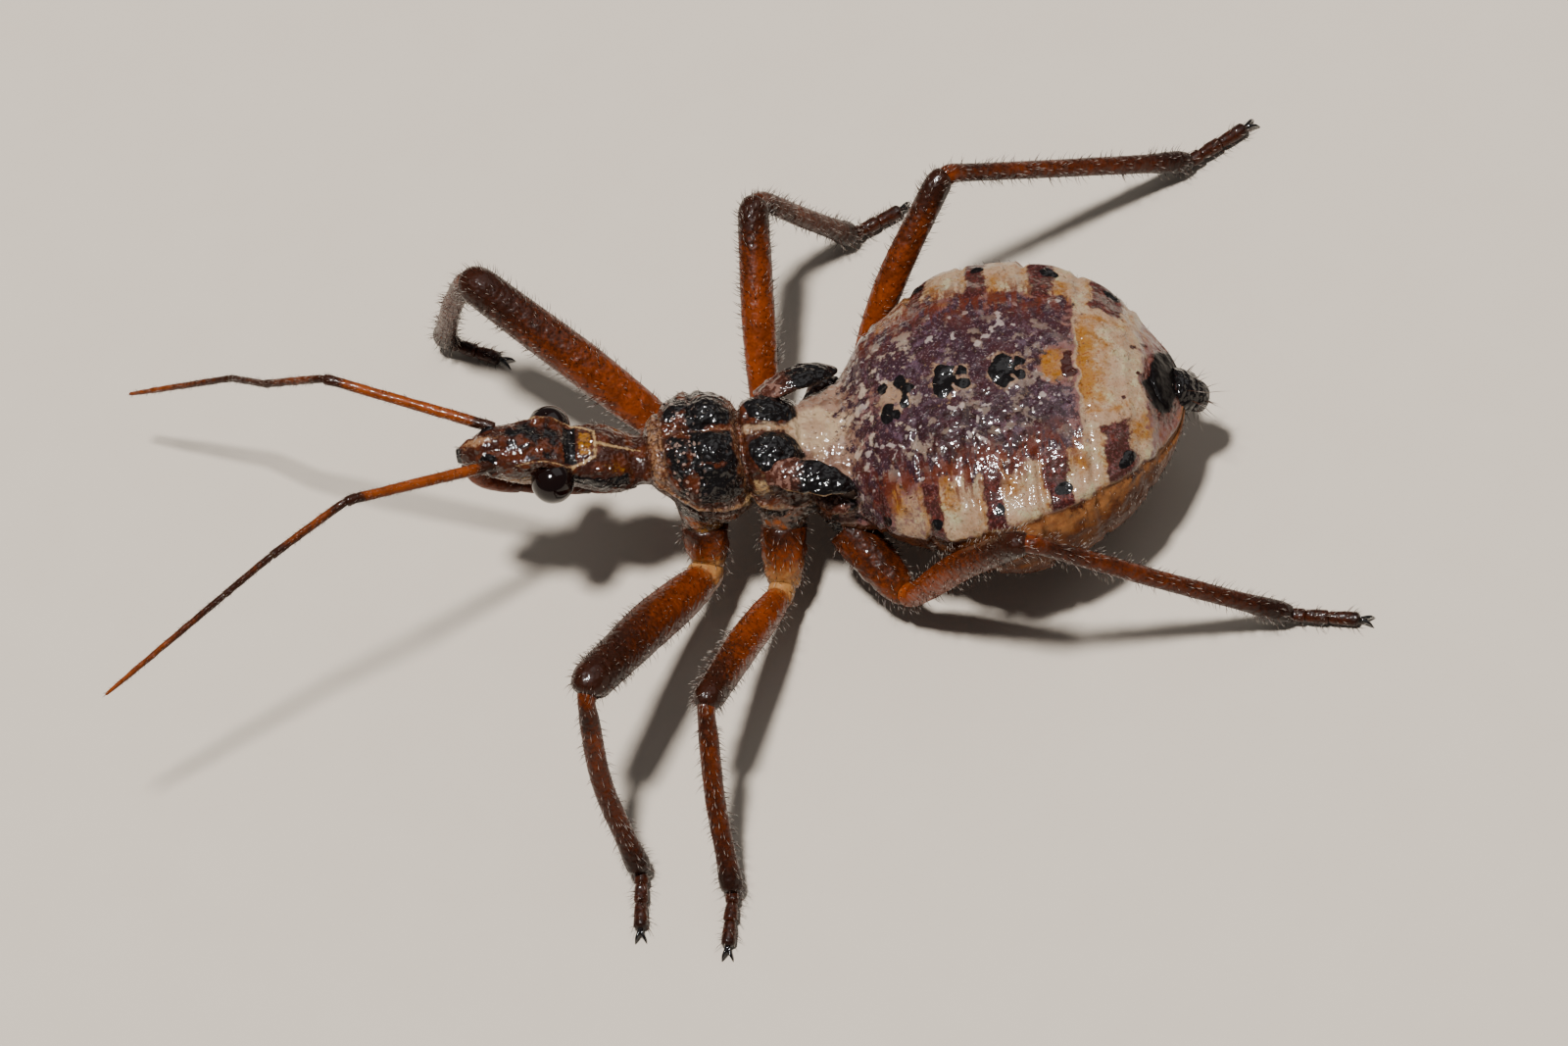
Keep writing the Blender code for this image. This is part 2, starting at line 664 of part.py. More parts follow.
def make_thorax(collection):
    """The three rings of the thorax with the stubs for legs and wing pads."""
    divisions = {
        "prothorax": (PROTHORAX, PROTHORAX_FULLNESS, PROTHORAX_X, 15, prothorax_relief, []),
        "mesothorax": (MESOTHORAX, THORAX_FULLNESS, MESOTHORAX_X, 9, mesothorax_relief,
                       ["fore_wing_pad"]),
        "metathorax": (METATHORAX, THORAX_FULLNESS, METATHORAX_X, 6, None, ["hind_wing_pad"]),
    }
    for name, (shape, fullness, (front, back), count, relief, pads) in divisions.items():
        mesh = loft([trunk_ring(shape, fullness, x, relief) for x in evenly(front, back, count)])
        body = add_object(name, mesh, "skin", collection)
        pieces = []
        for side in SIDES:
            pieces += [leg_stub(row, side) for row in LEGS if LEGS[row]["thorax"] == name]
            pieces += [pad_stub(pad, side) for pad in pads]
        fuse(body, pieces, "skin")


def make_abdomen(collection):
    """The swollen abdomen, cut flat where the tail ring meets it."""
    front, back = ABDOMEN_X
    mesh = loft([trunk_ring(ABDOMEN, ABDOMEN_FULLNESS, x, abdomen_relief)
                 for x in eased(front, back, ABDOMEN_RINGS)])
    cut_behind(mesh, TAIL_START, heading(180, -TAIL_SLOPE))
    add_object("abdomen", mesh, "skin", collection)


def make_tail(collection):
    """The black last rings of the abdomen."""
    along = heading(180, -TAIL_SLOPE)
    start = Vector(TAIL_START)
    path = [start + along * (GAP + TAIL_LENGTH * k / 12) for k in range(13)]
    mesh = limb(path, 0, TAIL_LENGTH, Vector((0, 1, 0)), TAIL_RADIUS, TAIL_RADIUS)
    add_object("tail_ring", mesh, "dark", collection)


def stand_on_origin(collection):
    """Move every piece so that the middle of the model's outline on the floor is the origin."""
    points = [vertex.co for piece in collection.objects for vertex in piece.data.vertices]
    middle_x = (min(point.x for point in points) + max(point.x for point in points)) / 2
    middle_y = (min(point.y for point in points) + max(point.y for point in points)) / 2
    for piece in collection.objects:
        piece.data.transform(Matrix.Translation((-middle_x, -middle_y, 0)))


def main():
    """Build every piece and stand the model on its origin."""
    for old in list(bpy.data.objects):
        bpy.data.objects.remove(old)
    bug = bpy.data.collections.new("assassin_bug")
    bpy.context.scene.collection.children.link(bug)
    make_head(bug)
    for side in SIDES:
        make_eye(side, bug)
        make_antenna(side, bug)
    make_beak(bug)
    make_thorax(bug)
    for side in SIDES:
        for pad in PADS:
            make_wing_pad(pad, side, bug)
        for row in LEGS:
            make_leg(row, side, bug)
    make_abdomen(bug)
    make_tail(bug)
    stand_on_origin(bug)


main()
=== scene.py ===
"""Looks of the assassin bug nymph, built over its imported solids.

Shapes are worked out in millimetres: X runs towards the head, Y to the bug's left and Z up
from the floor. A finished piece is moved to the frame's own origin and turned to metres.
"""

import math
from collections import namedtuple
from functools import reduce

import bpy
import numpy as np
from bpy.props import FloatProperty, FloatVectorProperty, IntProperty, PointerProperty
from mathutils import Matrix, Vector


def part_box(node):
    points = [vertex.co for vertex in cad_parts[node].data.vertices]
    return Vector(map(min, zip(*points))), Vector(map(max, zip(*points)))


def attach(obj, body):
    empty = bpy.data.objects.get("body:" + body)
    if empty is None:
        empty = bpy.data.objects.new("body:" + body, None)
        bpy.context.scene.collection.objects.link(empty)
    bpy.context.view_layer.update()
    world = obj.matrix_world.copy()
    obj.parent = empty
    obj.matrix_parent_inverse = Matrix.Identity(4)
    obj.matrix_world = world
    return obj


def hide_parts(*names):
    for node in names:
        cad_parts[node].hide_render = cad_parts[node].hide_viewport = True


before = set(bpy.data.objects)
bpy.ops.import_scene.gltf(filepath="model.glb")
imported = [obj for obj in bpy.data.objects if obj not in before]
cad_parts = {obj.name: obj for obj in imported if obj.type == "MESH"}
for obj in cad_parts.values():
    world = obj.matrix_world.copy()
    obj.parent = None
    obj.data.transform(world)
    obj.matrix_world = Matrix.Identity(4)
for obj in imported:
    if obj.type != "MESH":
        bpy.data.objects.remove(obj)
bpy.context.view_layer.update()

bl_info = {
    "name": "Assassin bug nymph",
    "version": (1, 0, 0),
    "blender": (4, 5, 0),
    "location": "3D View > Sidebar > Nymph",
    "description": "Builds the skin, eyes, legs, feelers and bristles of an assassin bug nymph",
    "category": "Object",
}

MM = 0.001
SIDES = {"left": 1, "right": -1}
SEED = 11

# The abdomen's front face and its middle tie the drawing's millimetres to the frame
ABDOMEN_FRONT = -1.60
ABDOMEN_LOW, ABDOMEN_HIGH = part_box("abdomen")
ABDOMEN_MIDDLE = (ABDOMEN_LOW.y + ABDOMEN_HIGH.y) / 2
ORIGIN = np.array((ABDOMEN_FRONT - ABDOMEN_HIGH.x / MM, -ABDOMEN_MIDDLE / MM, 0.0))

# The photo: its size in pixels, millimetres for one pixel, and the pixel that shows the anchor
PHOTO_SIZE = (1600, 1067)
PIXEL = 0.018313
ANCHOR_PIXEL = (800, 500)
ANCHOR = np.array((0.0, 0.0, 1.42976))
CAMERA_RIGHT = np.array((-0.97924, 0.12540, -0.15924))
CAMERA_UP = np.array((-0.19124, -0.83196, 0.52084))
CAMERA_BACK = np.array((-0.06716, 0.54048, 0.83867))
CAMERA_DISTANCE = 350.0
SENSOR = 36.0

# Where the skin ends at the tail, turns from thin to tanned cuticle, has its neck and ends at
# the face, and its cross-sections, read along X
TAIL_END_X = -7.72
MEMBRANE_X = -1.02
NECK_X = 2.42
FACE_X = 5.70
BODY = {
    "half_width": [(-7.72, 0.30), (-7.60, 0.74), (-7.30, 1.30), (-6.90, 1.86), (-6.40, 2.38),
                   (-5.70, 2.86), (-4.90, 3.14), (-4.20, 3.20), (-3.60, 3.04), (-3.00, 2.72),
                   (-2.50, 2.38), (-2.00, 2.08), (-1.60, 1.66), (-1.35, 1.40), (-1.00, 1.25),
                   (-0.73, 1.10), (-0.60, 1.00), (-0.48, 1.00), (-0.10, 1.05), (0.37, 1.02),
                   (0.50, 0.94), (0.62, 1.00), (1.00, 1.20), (1.43, 1.22), (1.75, 1.05),
                   (1.95, 0.86), (2.17, 0.70), (2.30, 0.52), (2.42, 0.49), (2.70, 0.59),
                   (3.00, 0.67), (3.40, 0.63), (4.00, 0.60), (4.60, 0.56), (5.10, 0.42),
                   (5.45, 0.28), (5.70, 0.13)],
    "widest": [(-7.72, 2.20), (-6.90, 2.30), (-5.60, 2.40), (-4.20, 2.36), (-3.00, 2.52),
               (-2.00, 2.66), (-1.60, 2.44), (-1.35, 2.30), (-0.73, 2.45), (-0.48, 2.62),
               (0.37, 2.90), (0.62, 3.05), (1.43, 3.30), (2.17, 3.45), (2.42, 3.40),
               (3.00, 3.58), (4.00, 3.98), (4.60, 4.18), (5.70, 4.42)],
    "top": [(-7.72, 2.40), (-7.50, 2.66), (-7.20, 3.08), (-6.80, 3.44), (-6.36, 3.66),
            (-5.80, 3.80), (-4.70, 4.00), (-3.60, 4.06), (-2.60, 3.88), (-2.00, 3.62),
            (-1.60, 3.34), (-1.35, 3.24), (-0.95, 3.24), (-0.73, 3.28), (-0.48, 3.42),
            (-0.08, 3.60), (0.37, 3.72), (0.50, 3.66), (0.62, 3.88), (1.00, 4.06),
            (1.50, 4.13), (1.90, 4.10), (2.17, 3.94), (2.30, 3.70), (2.42, 3.72),
            (2.70, 3.93), (3.12, 4.20), (3.60, 4.30), (3.85, 4.44), (4.40, 4.72),
            (5.05, 4.80), (5.45, 4.70), (5.70, 4.52)],
    "bottom": [(-7.72, 2.00), (-7.40, 1.62), (-6.80, 1.24), (-6.00, 0.96), (-5.00, 0.80),
               (-4.00, 0.80), (-3.00, 0.96), (-2.00, 1.20), (-1.60, 1.34), (-1.35, 1.25),
               (-0.73, 1.42), (-0.48, 1.50), (0.37, 1.75), (0.62, 1.95), (1.43, 2.15),
               (1.90, 2.55), (2.17, 2.90), (2.42, 3.05), (2.80, 3.04), (3.40, 3.24),
               (4.00, 3.48), (4.60, 3.68), (5.20, 3.92), (5.70, 4.30)],
    "fullness": [(-1.6, 2.25), (-0.5, 2.3), (0.5, 2.2), (2.2, 2.2), (2.6, 2.1)],
}
HEAD_TURN = -3.5

EYE_CENTRE = (4.00, 0.61, 4.01)
EYE_RADIUS = 0.41
EYE_SHAPE = (0.98, 0.96, 1.02)
EYE_RINGS = 40
EYE_SIDES = 72

# Fronts of the abdomen's rings, the black spot of each near the side margin, and the margin
# itself as an angle from the middle of the back
RING_FRONTS = (-1.90, -2.86, -3.98, -5.16, -6.30)
RING_REARS = (-2.12, -3.15, -4.34, -5.60, -6.82)
SPOTS_X = (-2.03, -3.00, -4.20, -5.48, -6.64)
FOLDS_X = (-1.95, -2.84, -3.88, -5.02, -6.02, -6.90)
MARGIN_TURN = [(-7.4, 76), (-6.6, 62), (-5.46, 59), (-4.18, 61), (-3.06, 76), (-2.03, 92),
               (-1.6, 96)]
RING_SKEW = 0.06

# Scent glands along the middle of the back; the first is broken up into blots, each with its
# place ahead of the gland, its place to the left and its size, and the last is three dots
GLANDS_X = (-2.49, -3.57, -4.68, -5.84)
FIRST_GLAND_BLOTS = ((0.21, -0.26, 0.13), (0.16, 0.30, 0.19), (-0.12, -0.28, 0.15),
                     (-0.25, -0.06, 0.13), (-0.21, 0.18, 0.14), (-0.02, 0.40, 0.10))
LAST_GLAND_DOTS = ((-0.20, 0.09), (-0.04, 0.11), (0.15, 0.13))
REAR_DOTS = ((-7.10, -0.62), (-6.98, -0.44), (-7.22, -0.05), (-7.02, 0.16), (-6.70, 0.75))

TAIL_START = (-7.52, 0, 2.30)
TAIL_SLOPE = 46.0

PADS = {
    "fore_wing_pad": {
        "path": [(0.10, 0.86, 3.36), (-0.20, 0.94, 3.44), (-0.60, 1.08, 3.42),
                 (-1.05, 1.22, 3.30), (-1.46, 1.32, 3.10)],
        "half_width": [(0.0, 0.20), (0.3, 0.31), (0.6, 0.32), (0.85, 0.20), (0.97, 0.09),
                       (1.0, 0.03)],
        "half_depth": [(0.0, 0.12), (0.4, 0.14), (0.8, 0.11), (1.0, 0.03)],
        "brown": [(0.0, 1.0), (0.20, 0.75), (0.36, 0.50), (0.5, 0.0), (1.0, 0.0)],
    },
    "hind_wing_pad": {
        "path": [(-0.70, 0.92, 2.58), (-0.94, 1.26, 2.64), (-1.10, 1.38, 2.66),
                 (-1.42, 1.42, 2.66)],
        "half_width": [(0.0, 0.14), (0.5, 0.18), (0.85, 0.12), (1.0, 0.03)],
        "half_depth": [(0.0, 0.12), (0.6, 0.10), (1.0, 0.03)],
        "brown": [(0.0, 1.0), (0.5, 0.9), (0.75, 0.6), (1.0, 0.0)],
    },
}

# The feeler's half thickness where it stands in the head, and its segments: length, thickness
# as a share of the feeler's radius, and how dark and how cream they are along them
FEELER_ROOT = 0.10
FEELER = {
    "scape": {
        "length": 3.00,
        "profile": [(0.07, 1.0), (0.9, 0.9), (1.0, 0.95)],
        "dark": [(0.0, 0.95), (0.10, 0.85), (0.16, 0.2), (0.55, 0.1), (0.86, 0.3), (0.94, 0.95),
                 (1.0, 1.0)],
        "cream": [(0.0, 0.0), (1.0, 0.0)],
    },
    "pedicel": {
        "length": 1.75,
        "profile": [(0.0, 0.55), (0.1, 0.75), (0.9, 0.72), (1.0, 0.8)],
        "dark": [(0.0, 0.9), (0.08, 0.8), (0.3, 0.45), (0.8, 0.6), (0.92, 0.95), (1.0, 0.95)],
        "cream": [(0.0, 0.0), (0.90, 0.0), (0.96, 0.6), (1.0, 0.7)],
    },
    "flagellum": {
        "length": 1.15,
        "profile": [(0.0, 0.45), (0.1, 0.64), (0.9, 0.62), (1.0, 0.7)],
        "dark": [(0.0, 0.9), (0.3, 0.7), (0.9, 0.9), (1.0, 0.95)],
        "cream": [(0.0, 0.7), (0.06, 0.5), (0.12, 0.0), (0.90, 0.0), (0.96, 0.6), (1.0, 0.7)],
    },
    "tip": {
        "length": 2.95,
        "profile": [(0.0, 0.45), (0.05, 0.60), (0.7, 0.52), (0.92, 0.38), (1.0, 0.26)],
        "dark": [(0.0, 0.85), (0.3, 0.6), (0.7, 0.35), (1.0, 0.3)],
        "cream": [(0.0, 0.7), (0.03, 0.4), (0.06, 0.0), (1.0, 0.0)],
    },
}
ANTENNA_BASE = (5.24, 0.50, 4.66)
ANTENNA_POSES = {
    "left": {"scape": (23.9, 28.5), "pedicel": (17.0, -20.0), "flagellum": (20.9, -20.5),
             "tip": (21.5, -20.2)},
    "right": {"scape": (-24.9, 11.5), "pedicel": (-33.0, -34.5), "flagellum": (-44.0, -32.0),
              "tip": (-29.0, -34.0)},
}
ANTENNA_BEND = 0.5

BEAK_PATH = [(5.50, 0, 4.10), (5.46, 0, 3.84), (5.28, 0, 3.52), (4.80, 0, 3.20),
             (4.20, 0, 2.98), (3.60, 0, 2.76), (3.00, 0, 2.58), (2.62, 0, 2.50)]

# Each pair of legs: socket, lengths and half thicknesses, how much darker than the middle pair's
# the femur is, and how pale the coxa's end and how dark its middle is
LEGS = {
    "front": {"socket": (1.52, 0.92, 2.08), "stub": 0.70, "femur": 5.38, "tibia": 4.30,
              "tarsus": 1.16, "femur_depth": 0.46, "femur_width": 0.41, "tibia_radius": 0.195,
              "tone": 0.16, "hip_pale": 0.80, "hip_dark": 0.32},
    "middle": {"socket": (0.10, 1.05, 1.70), "stub": 0.50, "femur": 4.36, "tibia": 3.70,
               "tarsus": 1.10, "femur_depth": 0.35, "femur_width": 0.31, "tibia_radius": 0.19,
               "tone": 0.0, "hip_pale": 0.80, "hip_dark": 0.32},
    "hind": {"socket": (-1.16, 1.28, 1.55), "stub": 0.30, "femur": 4.48, "tibia": 6.00,
             "tarsus": 1.30, "femur_depth": 0.30, "femur_width": 0.27, "tibia_radius": 0.17,
             "tone": 0.06, "hip_pale": 0.35, "hip_dark": 0.60},
}
LEG_POSES = {
    "front": {
        "left": {"hip": (1.62, 1.40, 1.24), "femur_turn": 58.2, "femur_lift": 33.4,
                 "femur_bow": 0.10, "tibia_turn": 97.0, "tibia_bow": 0.24, "tarsus_turn": 80.9},
        "right": {"hip": (1.62, -1.40, 1.24), "femur_turn": -39.0, "femur_lift": 33.9,
                  "femur_bow": 0.10, "tibia_turn": -54.0, "tibia_bow": 0.08,
                  "tarsus_turn": 150.0},
    },
    "middle": {
        "left": {"hip": (0.34, 1.85, 0.86), "femur_turn": 65.5, "femur_lift": 29.8,
                 "femur_bow": 0.10, "tibia_turn": 84.4, "tibia_bow": 0.08, "tarsus_turn": 76.8},
        "right": {"hip": (0.20, -1.80, 0.90), "femur_turn": -100.0, "femur_lift": 37.2,
                  "femur_bow": 0.16, "tibia_turn": -149.8, "tibia_bow": 0.05,
                  "tarsus_turn": -156.0},
    },
    "hind": {
        "left": {"hip": (-1.95, 2.55, 0.86), "femur_turn": 150.8, "femur_lift": 49.9,
                 "femur_bow": 0.16, "tibia_turn": 178.2, "tibia_bow": 0.06, "tarsus_turn": 165.7},
        "right": {"hip": (-1.62, -2.40, 0.90), "femur_turn": -137.8, "femur_lift": 43.4,
                  "femur_bow": 0.34, "tibia_turn": -159.2, "tibia_bow": 0.06,
                  "tarsus_turn": -152.4},
    },
}
FEET = [(row, side) for row in LEGS for side in SIDES]

# Half thickness along coxa, foot segment and claw, and along the two segments between as a
# share of their own
COXA_SIZE = [(0.0, 0.44), (0.4, 0.42), (0.85, 0.32), (1.0, 0.26)]
TARSUS_SIZE = [(0.0, 0.105), (0.3, 0.125), (0.85, 0.135), (1.0, 0.115)]
CLAW_SIZE = [(0.0, 0.045), (0.5, 0.038), (1.0, 0.006)]
TROCHANTER_WIDTH = [(0.0, 0.8), (0.4, 1.0), (1.0, 0.8)]
TROCHANTER_DEPTH = [(0.0, 0.8), (0.4, 1.05), (1.0, 0.8)]
FEMUR_WIDTH = [(0.0, 0.70), (0.06, 0.80), (0.20, 0.93), (0.45, 1.0), (0.80, 0.95), (0.93, 0.92),
               (1.0, 0.74)]
FEMUR_DEPTH = [(0.0, 0.70), (0.06, 0.80), (0.20, 0.93), (0.45, 1.0), (0.80, 0.92), (0.93, 0.90),
               (1.0, 0.66)]

# Radii of a leg's bends at hip, middle of a segment, knee and ankle, how many straight parts
# a bend is drawn with, and the heights of ankle and toe
HIP_BEND = 0.42
BOW_BEND = 6.0
KNEE_BEND = 0.36
ANKLE_BEND = 0.30
BEND_PARTS = 16
ANKLE_Z = 0.26
TOE_Z = 0.13

# A bristle: the rings along it with their share of its radius, the range of its length, how
# far it wanders, bends and is sunk, the least height of any of it, and where its ten points
# lie on the map for baking
BRISTLE_RINGS = ((0.0, 1.0), (0.40, 0.75), (0.75, 0.45))
BRISTLE_RANGE = (0.55, 1.35)
BRISTLE_WANDER = 0.14
BRISTLE_BEND = 0.28
BRISTLE_SINK = 0.012
FLOOR_CLEARANCE = 0.01
BRISTLE_MAP = ((0.0, 0.0), (0.0015, 0.0), (0.0008, 0.001), (0.0, 0.001), (0.0015, 0.001),
               (0.0008, 0.002), (0.0, 0.002), (0.0015, 0.002), (0.0008, 0.003), (0.0008, 0.003))

# The swellings of the thorax's flank over the hips, each with its place and height, and the
# pale line above them from the wing pads to the collar
FLANK_LOBES = ((1.55, 2.55, 0.17), (1.00, 2.45, 0.10), (0.20, 2.25, 0.18), (-0.30, 2.10, 0.12),
               (-0.85, 2.05, 0.20), (-1.30, 1.90, 0.14))
FLANK_LINE = [(-1.1, 2.42), (-0.3, 2.50), (0.3, 2.68), (0.75, 2.92), (1.4, 3.22), (2.0, 3.50)]


def linear(colour):
    """Turn an sRGB hex value to the linear red, green and blue that Blender works in."""
    parts = [int(colour[k:k + 2], 16) / 255 for k in (1, 3, 5)]
    return tuple(part / 12.92 if part <= 0.04045 else ((part + 0.055) / 1.055) ** 2.4
                 for part in parts)


def colour(name, description, value):
    """A colour that the user can change."""
    return FloatVectorProperty(name=name, description=description, subtype="COLOR", size=3,
                               min=0.0, max=1.0, default=linear(value))


def number(name, description, default, least=0):
    """A whole number that the user can change."""
    return IntProperty(name=name, description=description, min=least, default=default)


def length(name, description, millimetres):
    """A length that the user can change."""
    return FloatProperty(name=name, description=description, unit="LENGTH", subtype="DISTANCE",
                         min=0.0, precision=6, default=millimetres * MM)


class NymphSizes(bpy.types.PropertyGroup):
    """How fine the skin is and how long and thick the bristles are."""

    ring_step: length("Ring step", "Distance between two rings of the body skin", 0.030)
    body_sides: number("Body sides", "Faces around the body skin", 336, 24)
    limb_sides: number("Limb sides", "Faces around a leg", 28, 8)
    feeler_radius: length("Feeler radius", "Radius of a feeler's first segment", 0.108)
    leg_bristle: length("Leg bristle", "Length of a bristle on the legs", 0.165)
    body_bristle: length("Body bristle", "Length of a bristle on the body", 0.11)
    feeler_bristle: length("Feeler bristle", "Length of a bristle on the feelers", 0.07)
    bristle_radius: length("Bristle radius", "Radius at the root of a bristle", 0.007)
    leg_bristles: number("Bristles on a leg", "Number for each leg", 900)
    body_bristles: number("Bristles on the body", "Number in all", 1800)
    feeler_bristles: number("Bristles on a feeler", "Number for each feeler", 700)


class NymphColours(bpy.types.PropertyGroup):
    """The colours of the cuticle, eyes, bristles and floor."""

    amber: colour("Amber", "Tanned cuticle of the head and thorax", "#401905")
    tan: colour("Tan", "Pale brown cuticle of collar and seams", "#77553a")
    cream: colour("Cream", "Cream lines and blocks", "#8d765d")
    orange: colour("Orange", "Orange patches", "#774a08")
    black: colour("Black", "Melanised plates and spots", "#060303")
    purple: colour("Purple", "Purple-brown back of the abdomen", "#28141a")
    mauve: colour("Mauve", "Lighter mottling of the abdomen", "#5f403c")
    # The belly's own brown skin, darkened further as painted shade under the abdomen
    belly: colour("Belly", "Stretched skin below the side margin", "#44200b")
    leg: colour("Leg", "Orange-brown of the femora", "#702c02")
    shin: colour("Shin", "Red-brown of the tibiae", "#421804")
    feeler: colour("Feeler", "Orange of the first feeler segment", "#713105")
    eye: colour("Eye", "Near-black red-brown of the eyes", "#0d0403")
    bristle: colour("Bristle", "Pale end of a bristle", "#cfc2b2")
    floor: colour("Floor", "Plain pale floor", "#b4a899")


class NymphLight(bpy.types.PropertyGroup):
    """The studio light."""

    key_power: FloatProperty(name="Key", description="Power of the main soft light",
                             min=0.0, unit="POWER", default=2.8)
    fill_power: FloatProperty(name="Fill", description="Power of the large fill light",
                              min=0.0, unit="POWER", default=0.45)
    sky_strength: FloatProperty(name="Sky", description="Strength of the even light all round",
                                min=0.0, default=0.16)


def smooth(points, places):
    """Read a smooth, monotone curve through (place, value) points at many places."""
    at = np.array([point[0] for point in points], float)
    values = np.array([point[1] for point in points], float)
    steps = np.diff(at)
    slopes = np.diff(values) / steps
    product = slopes[:-1] * slopes[1:]
    total = np.where(product > 0, slopes[:-1] + slopes[1:], 1.0)
    tangents = np.concatenate([slopes[:1], np.where(product > 0, 2 * product / total, 0.0),
                               slopes[-1:]])
    places = np.clip(places, at[0], at[-1])
    i = np.clip(np.searchsorted(at, places, side="right") - 1, 0, len(steps) - 1)
    t = (places - at[i]) / steps[i]
    return ((1 + 2 * t) * (1 - t) ** 2 * values[i] + t * (1 - t) ** 2 * steps[i] * tangents[i]
            + t * t * (3 - 2 * t) * values[i + 1] + t * t * (t - 1) * steps[i] * tangents[i + 1])


def bell(distance, width):
    """A bump of height 1 that fades over the width."""
    return np.exp(-(distance / width) ** 2)


def step(value, low, high):
    """0 below low, 1 above high and a smooth rise between."""
    t = np.clip((value - low) / (high - low), 0, 1)
    return t * t * (3 - 2 * t)


def inside(distance, softness):
    """Turn a signed distance in millimetres to a field that is 0.5 on the edge."""
    return np.clip(0.5 - distance / (2 * softness), 0, 1)


def oval(u, v, centre, radii):
    """Signed distance, about, to an oval."""
    reach = np.hypot((u - centre[0]) / radii[0], (v - centre[1]) / radii[1])
    return (reach - 1) * min(radii)


def stroke(u, v, corners):
    """Distance to a line through the corners."""
    nearest = np.full(np.shape(u), 1e9)
    for (u1, v1), (u2, v2) in zip(corners, corners[1:]):
        du = u2 - u1
        dv = v2 - v1
        share = np.clip(((u - u1) * du + (v - v1) * dv) / (du * du + dv * dv), 0, 1)
        nearest = np.minimum(nearest, np.hypot(u - u1 - share * du, v - v1 - share * dv))
    return nearest


def slab(u, low, high):
    """Signed distance to the stretch between two values."""
    return np.maximum(low - u, u - high)


# Waves that a patch of bumps is made of, and how high they pile up
WAVES = 24
WAVES_HIGH = 6.5


def ripple(points, size, seed):
    """Smooth bumps of about the given size, from -1 to 1."""
    draw = np.random.default_rng(SEED + seed)
    total = np.zeros(points.shape[:-1])
    for _ in range(WAVES):
        way = draw.normal(size=3)
        way *= 2 * math.pi / (size * np.linalg.norm(way) * draw.uniform(0.8, 1.5))
        total += np.sin(points @ way + draw.uniform(0, 2 * math.pi))
    return total / WAVES_HIGH


def heading(turn, lift):
    """Unit vector from a heading and a lift in degrees."""
    turn = math.radians(turn)
    lift = math.radians(lift)
    return Vector((math.cos(lift) * math.cos(turn), math.cos(lift) * math.sin(turn), math.sin(lift)))


def mirrored(point, side):
    """A point of the left side, moved to the side asked for."""
    return Vector((point[0], point[1] * SIDES[side], point[2]))


def on_head(points):
    """Where points of the straight head go once it is turned about the neck."""
    points = np.array(points, float)
    turn = math.radians(HEAD_TURN) * step(points[..., 0], NECK_X - 0.25, NECK_X + 0.05)
    ahead = points[..., 0] - NECK_X
    across = points[..., 1]
    turned = points.copy()
    turned[..., 0] = NECK_X + ahead * np.cos(turn) - across * np.sin(turn)
    turned[..., 1] = ahead * np.sin(turn) + across * np.cos(turn)
    return turned


def rounded_path(corners, bends, spacing=0.03):
    """Points along straight runs joined by arcs, with the length at each arc's middle."""
    points = [corners[0]]
    middles = []
    for before, corner, after, radius in zip(corners, corners[1:], corners[2:], bends):
        into = (corner - before).normalized()
        out = (after - corner).normalized()
        turn = into.angle(out)
        reach = radius * math.tan(turn / 2)
        centre = corner - into * reach + (out - into * into.dot(out)).normalized() * radius
        spoke = corner - into * reach - centre
        axis = into.cross(out).normalized()
        start = sum((b - a).length for a, b in zip(points, points[1:]))
        start += (corner - into * reach - points[-1]).length
        for k in range(BEND_PARTS + 1):
            points.append(centre + Matrix.Rotation(turn * k / BEND_PARTS, 3, axis) @ spoke)
        middles.append(start + radius * turn / 2)
    points.append(corners[-1])
    fine = [points[0]]
    for a, b in zip(points, points[1:]):
        parts = max(1, math.ceil((b - a).length / spacing))
        fine += [a.lerp(b, k / parts) for k in range(1, parts + 1)]
    return np.array(fine), middles


def curved_path(points, spacing=0.03):
    """Points along a smooth curve through the given ones."""
    knots = np.array(points, float)
    lengths = path_lengths(knots)
    places = np.linspace(0, lengths[-1], max(8, int(lengths[-1] / spacing)))
    return np.stack([smooth(list(zip(lengths, knots[:, axis])), places) for axis in range(3)], -1)


def path_lengths(path):
    """Length from the start of a path to each of its points."""
    steps = np.linalg.norm(np.diff(path, axis=0), axis=1)
    return np.concatenate([[0.0], np.cumsum(steps)])


def cut_path(path, start, end, count):
    """Evenly spaced points of a path between two lengths."""
    lengths = path_lengths(path)
    places = np.linspace(start, end, count)
    return np.stack([np.interp(places, lengths, path[:, axis]) for axis in range(3)], -1)


def unit(vectors):
    """Vectors made one long."""
    return vectors / np.maximum(np.linalg.norm(vectors, axis=-1, keepdims=True), 1e-6)


def scaled(profile, factor):
    """A profile with its values multiplied."""
    return [(at, value * factor) for at, value in profile]


def most(*fields):
    """The largest of several fields at each point."""
    return reduce(np.maximum, fields)


# Points and faces in millimetres, with what each point carries for paint and bristles
Shell = namedtuple("Shell", "points faces corner_maps point_maps lie fields")


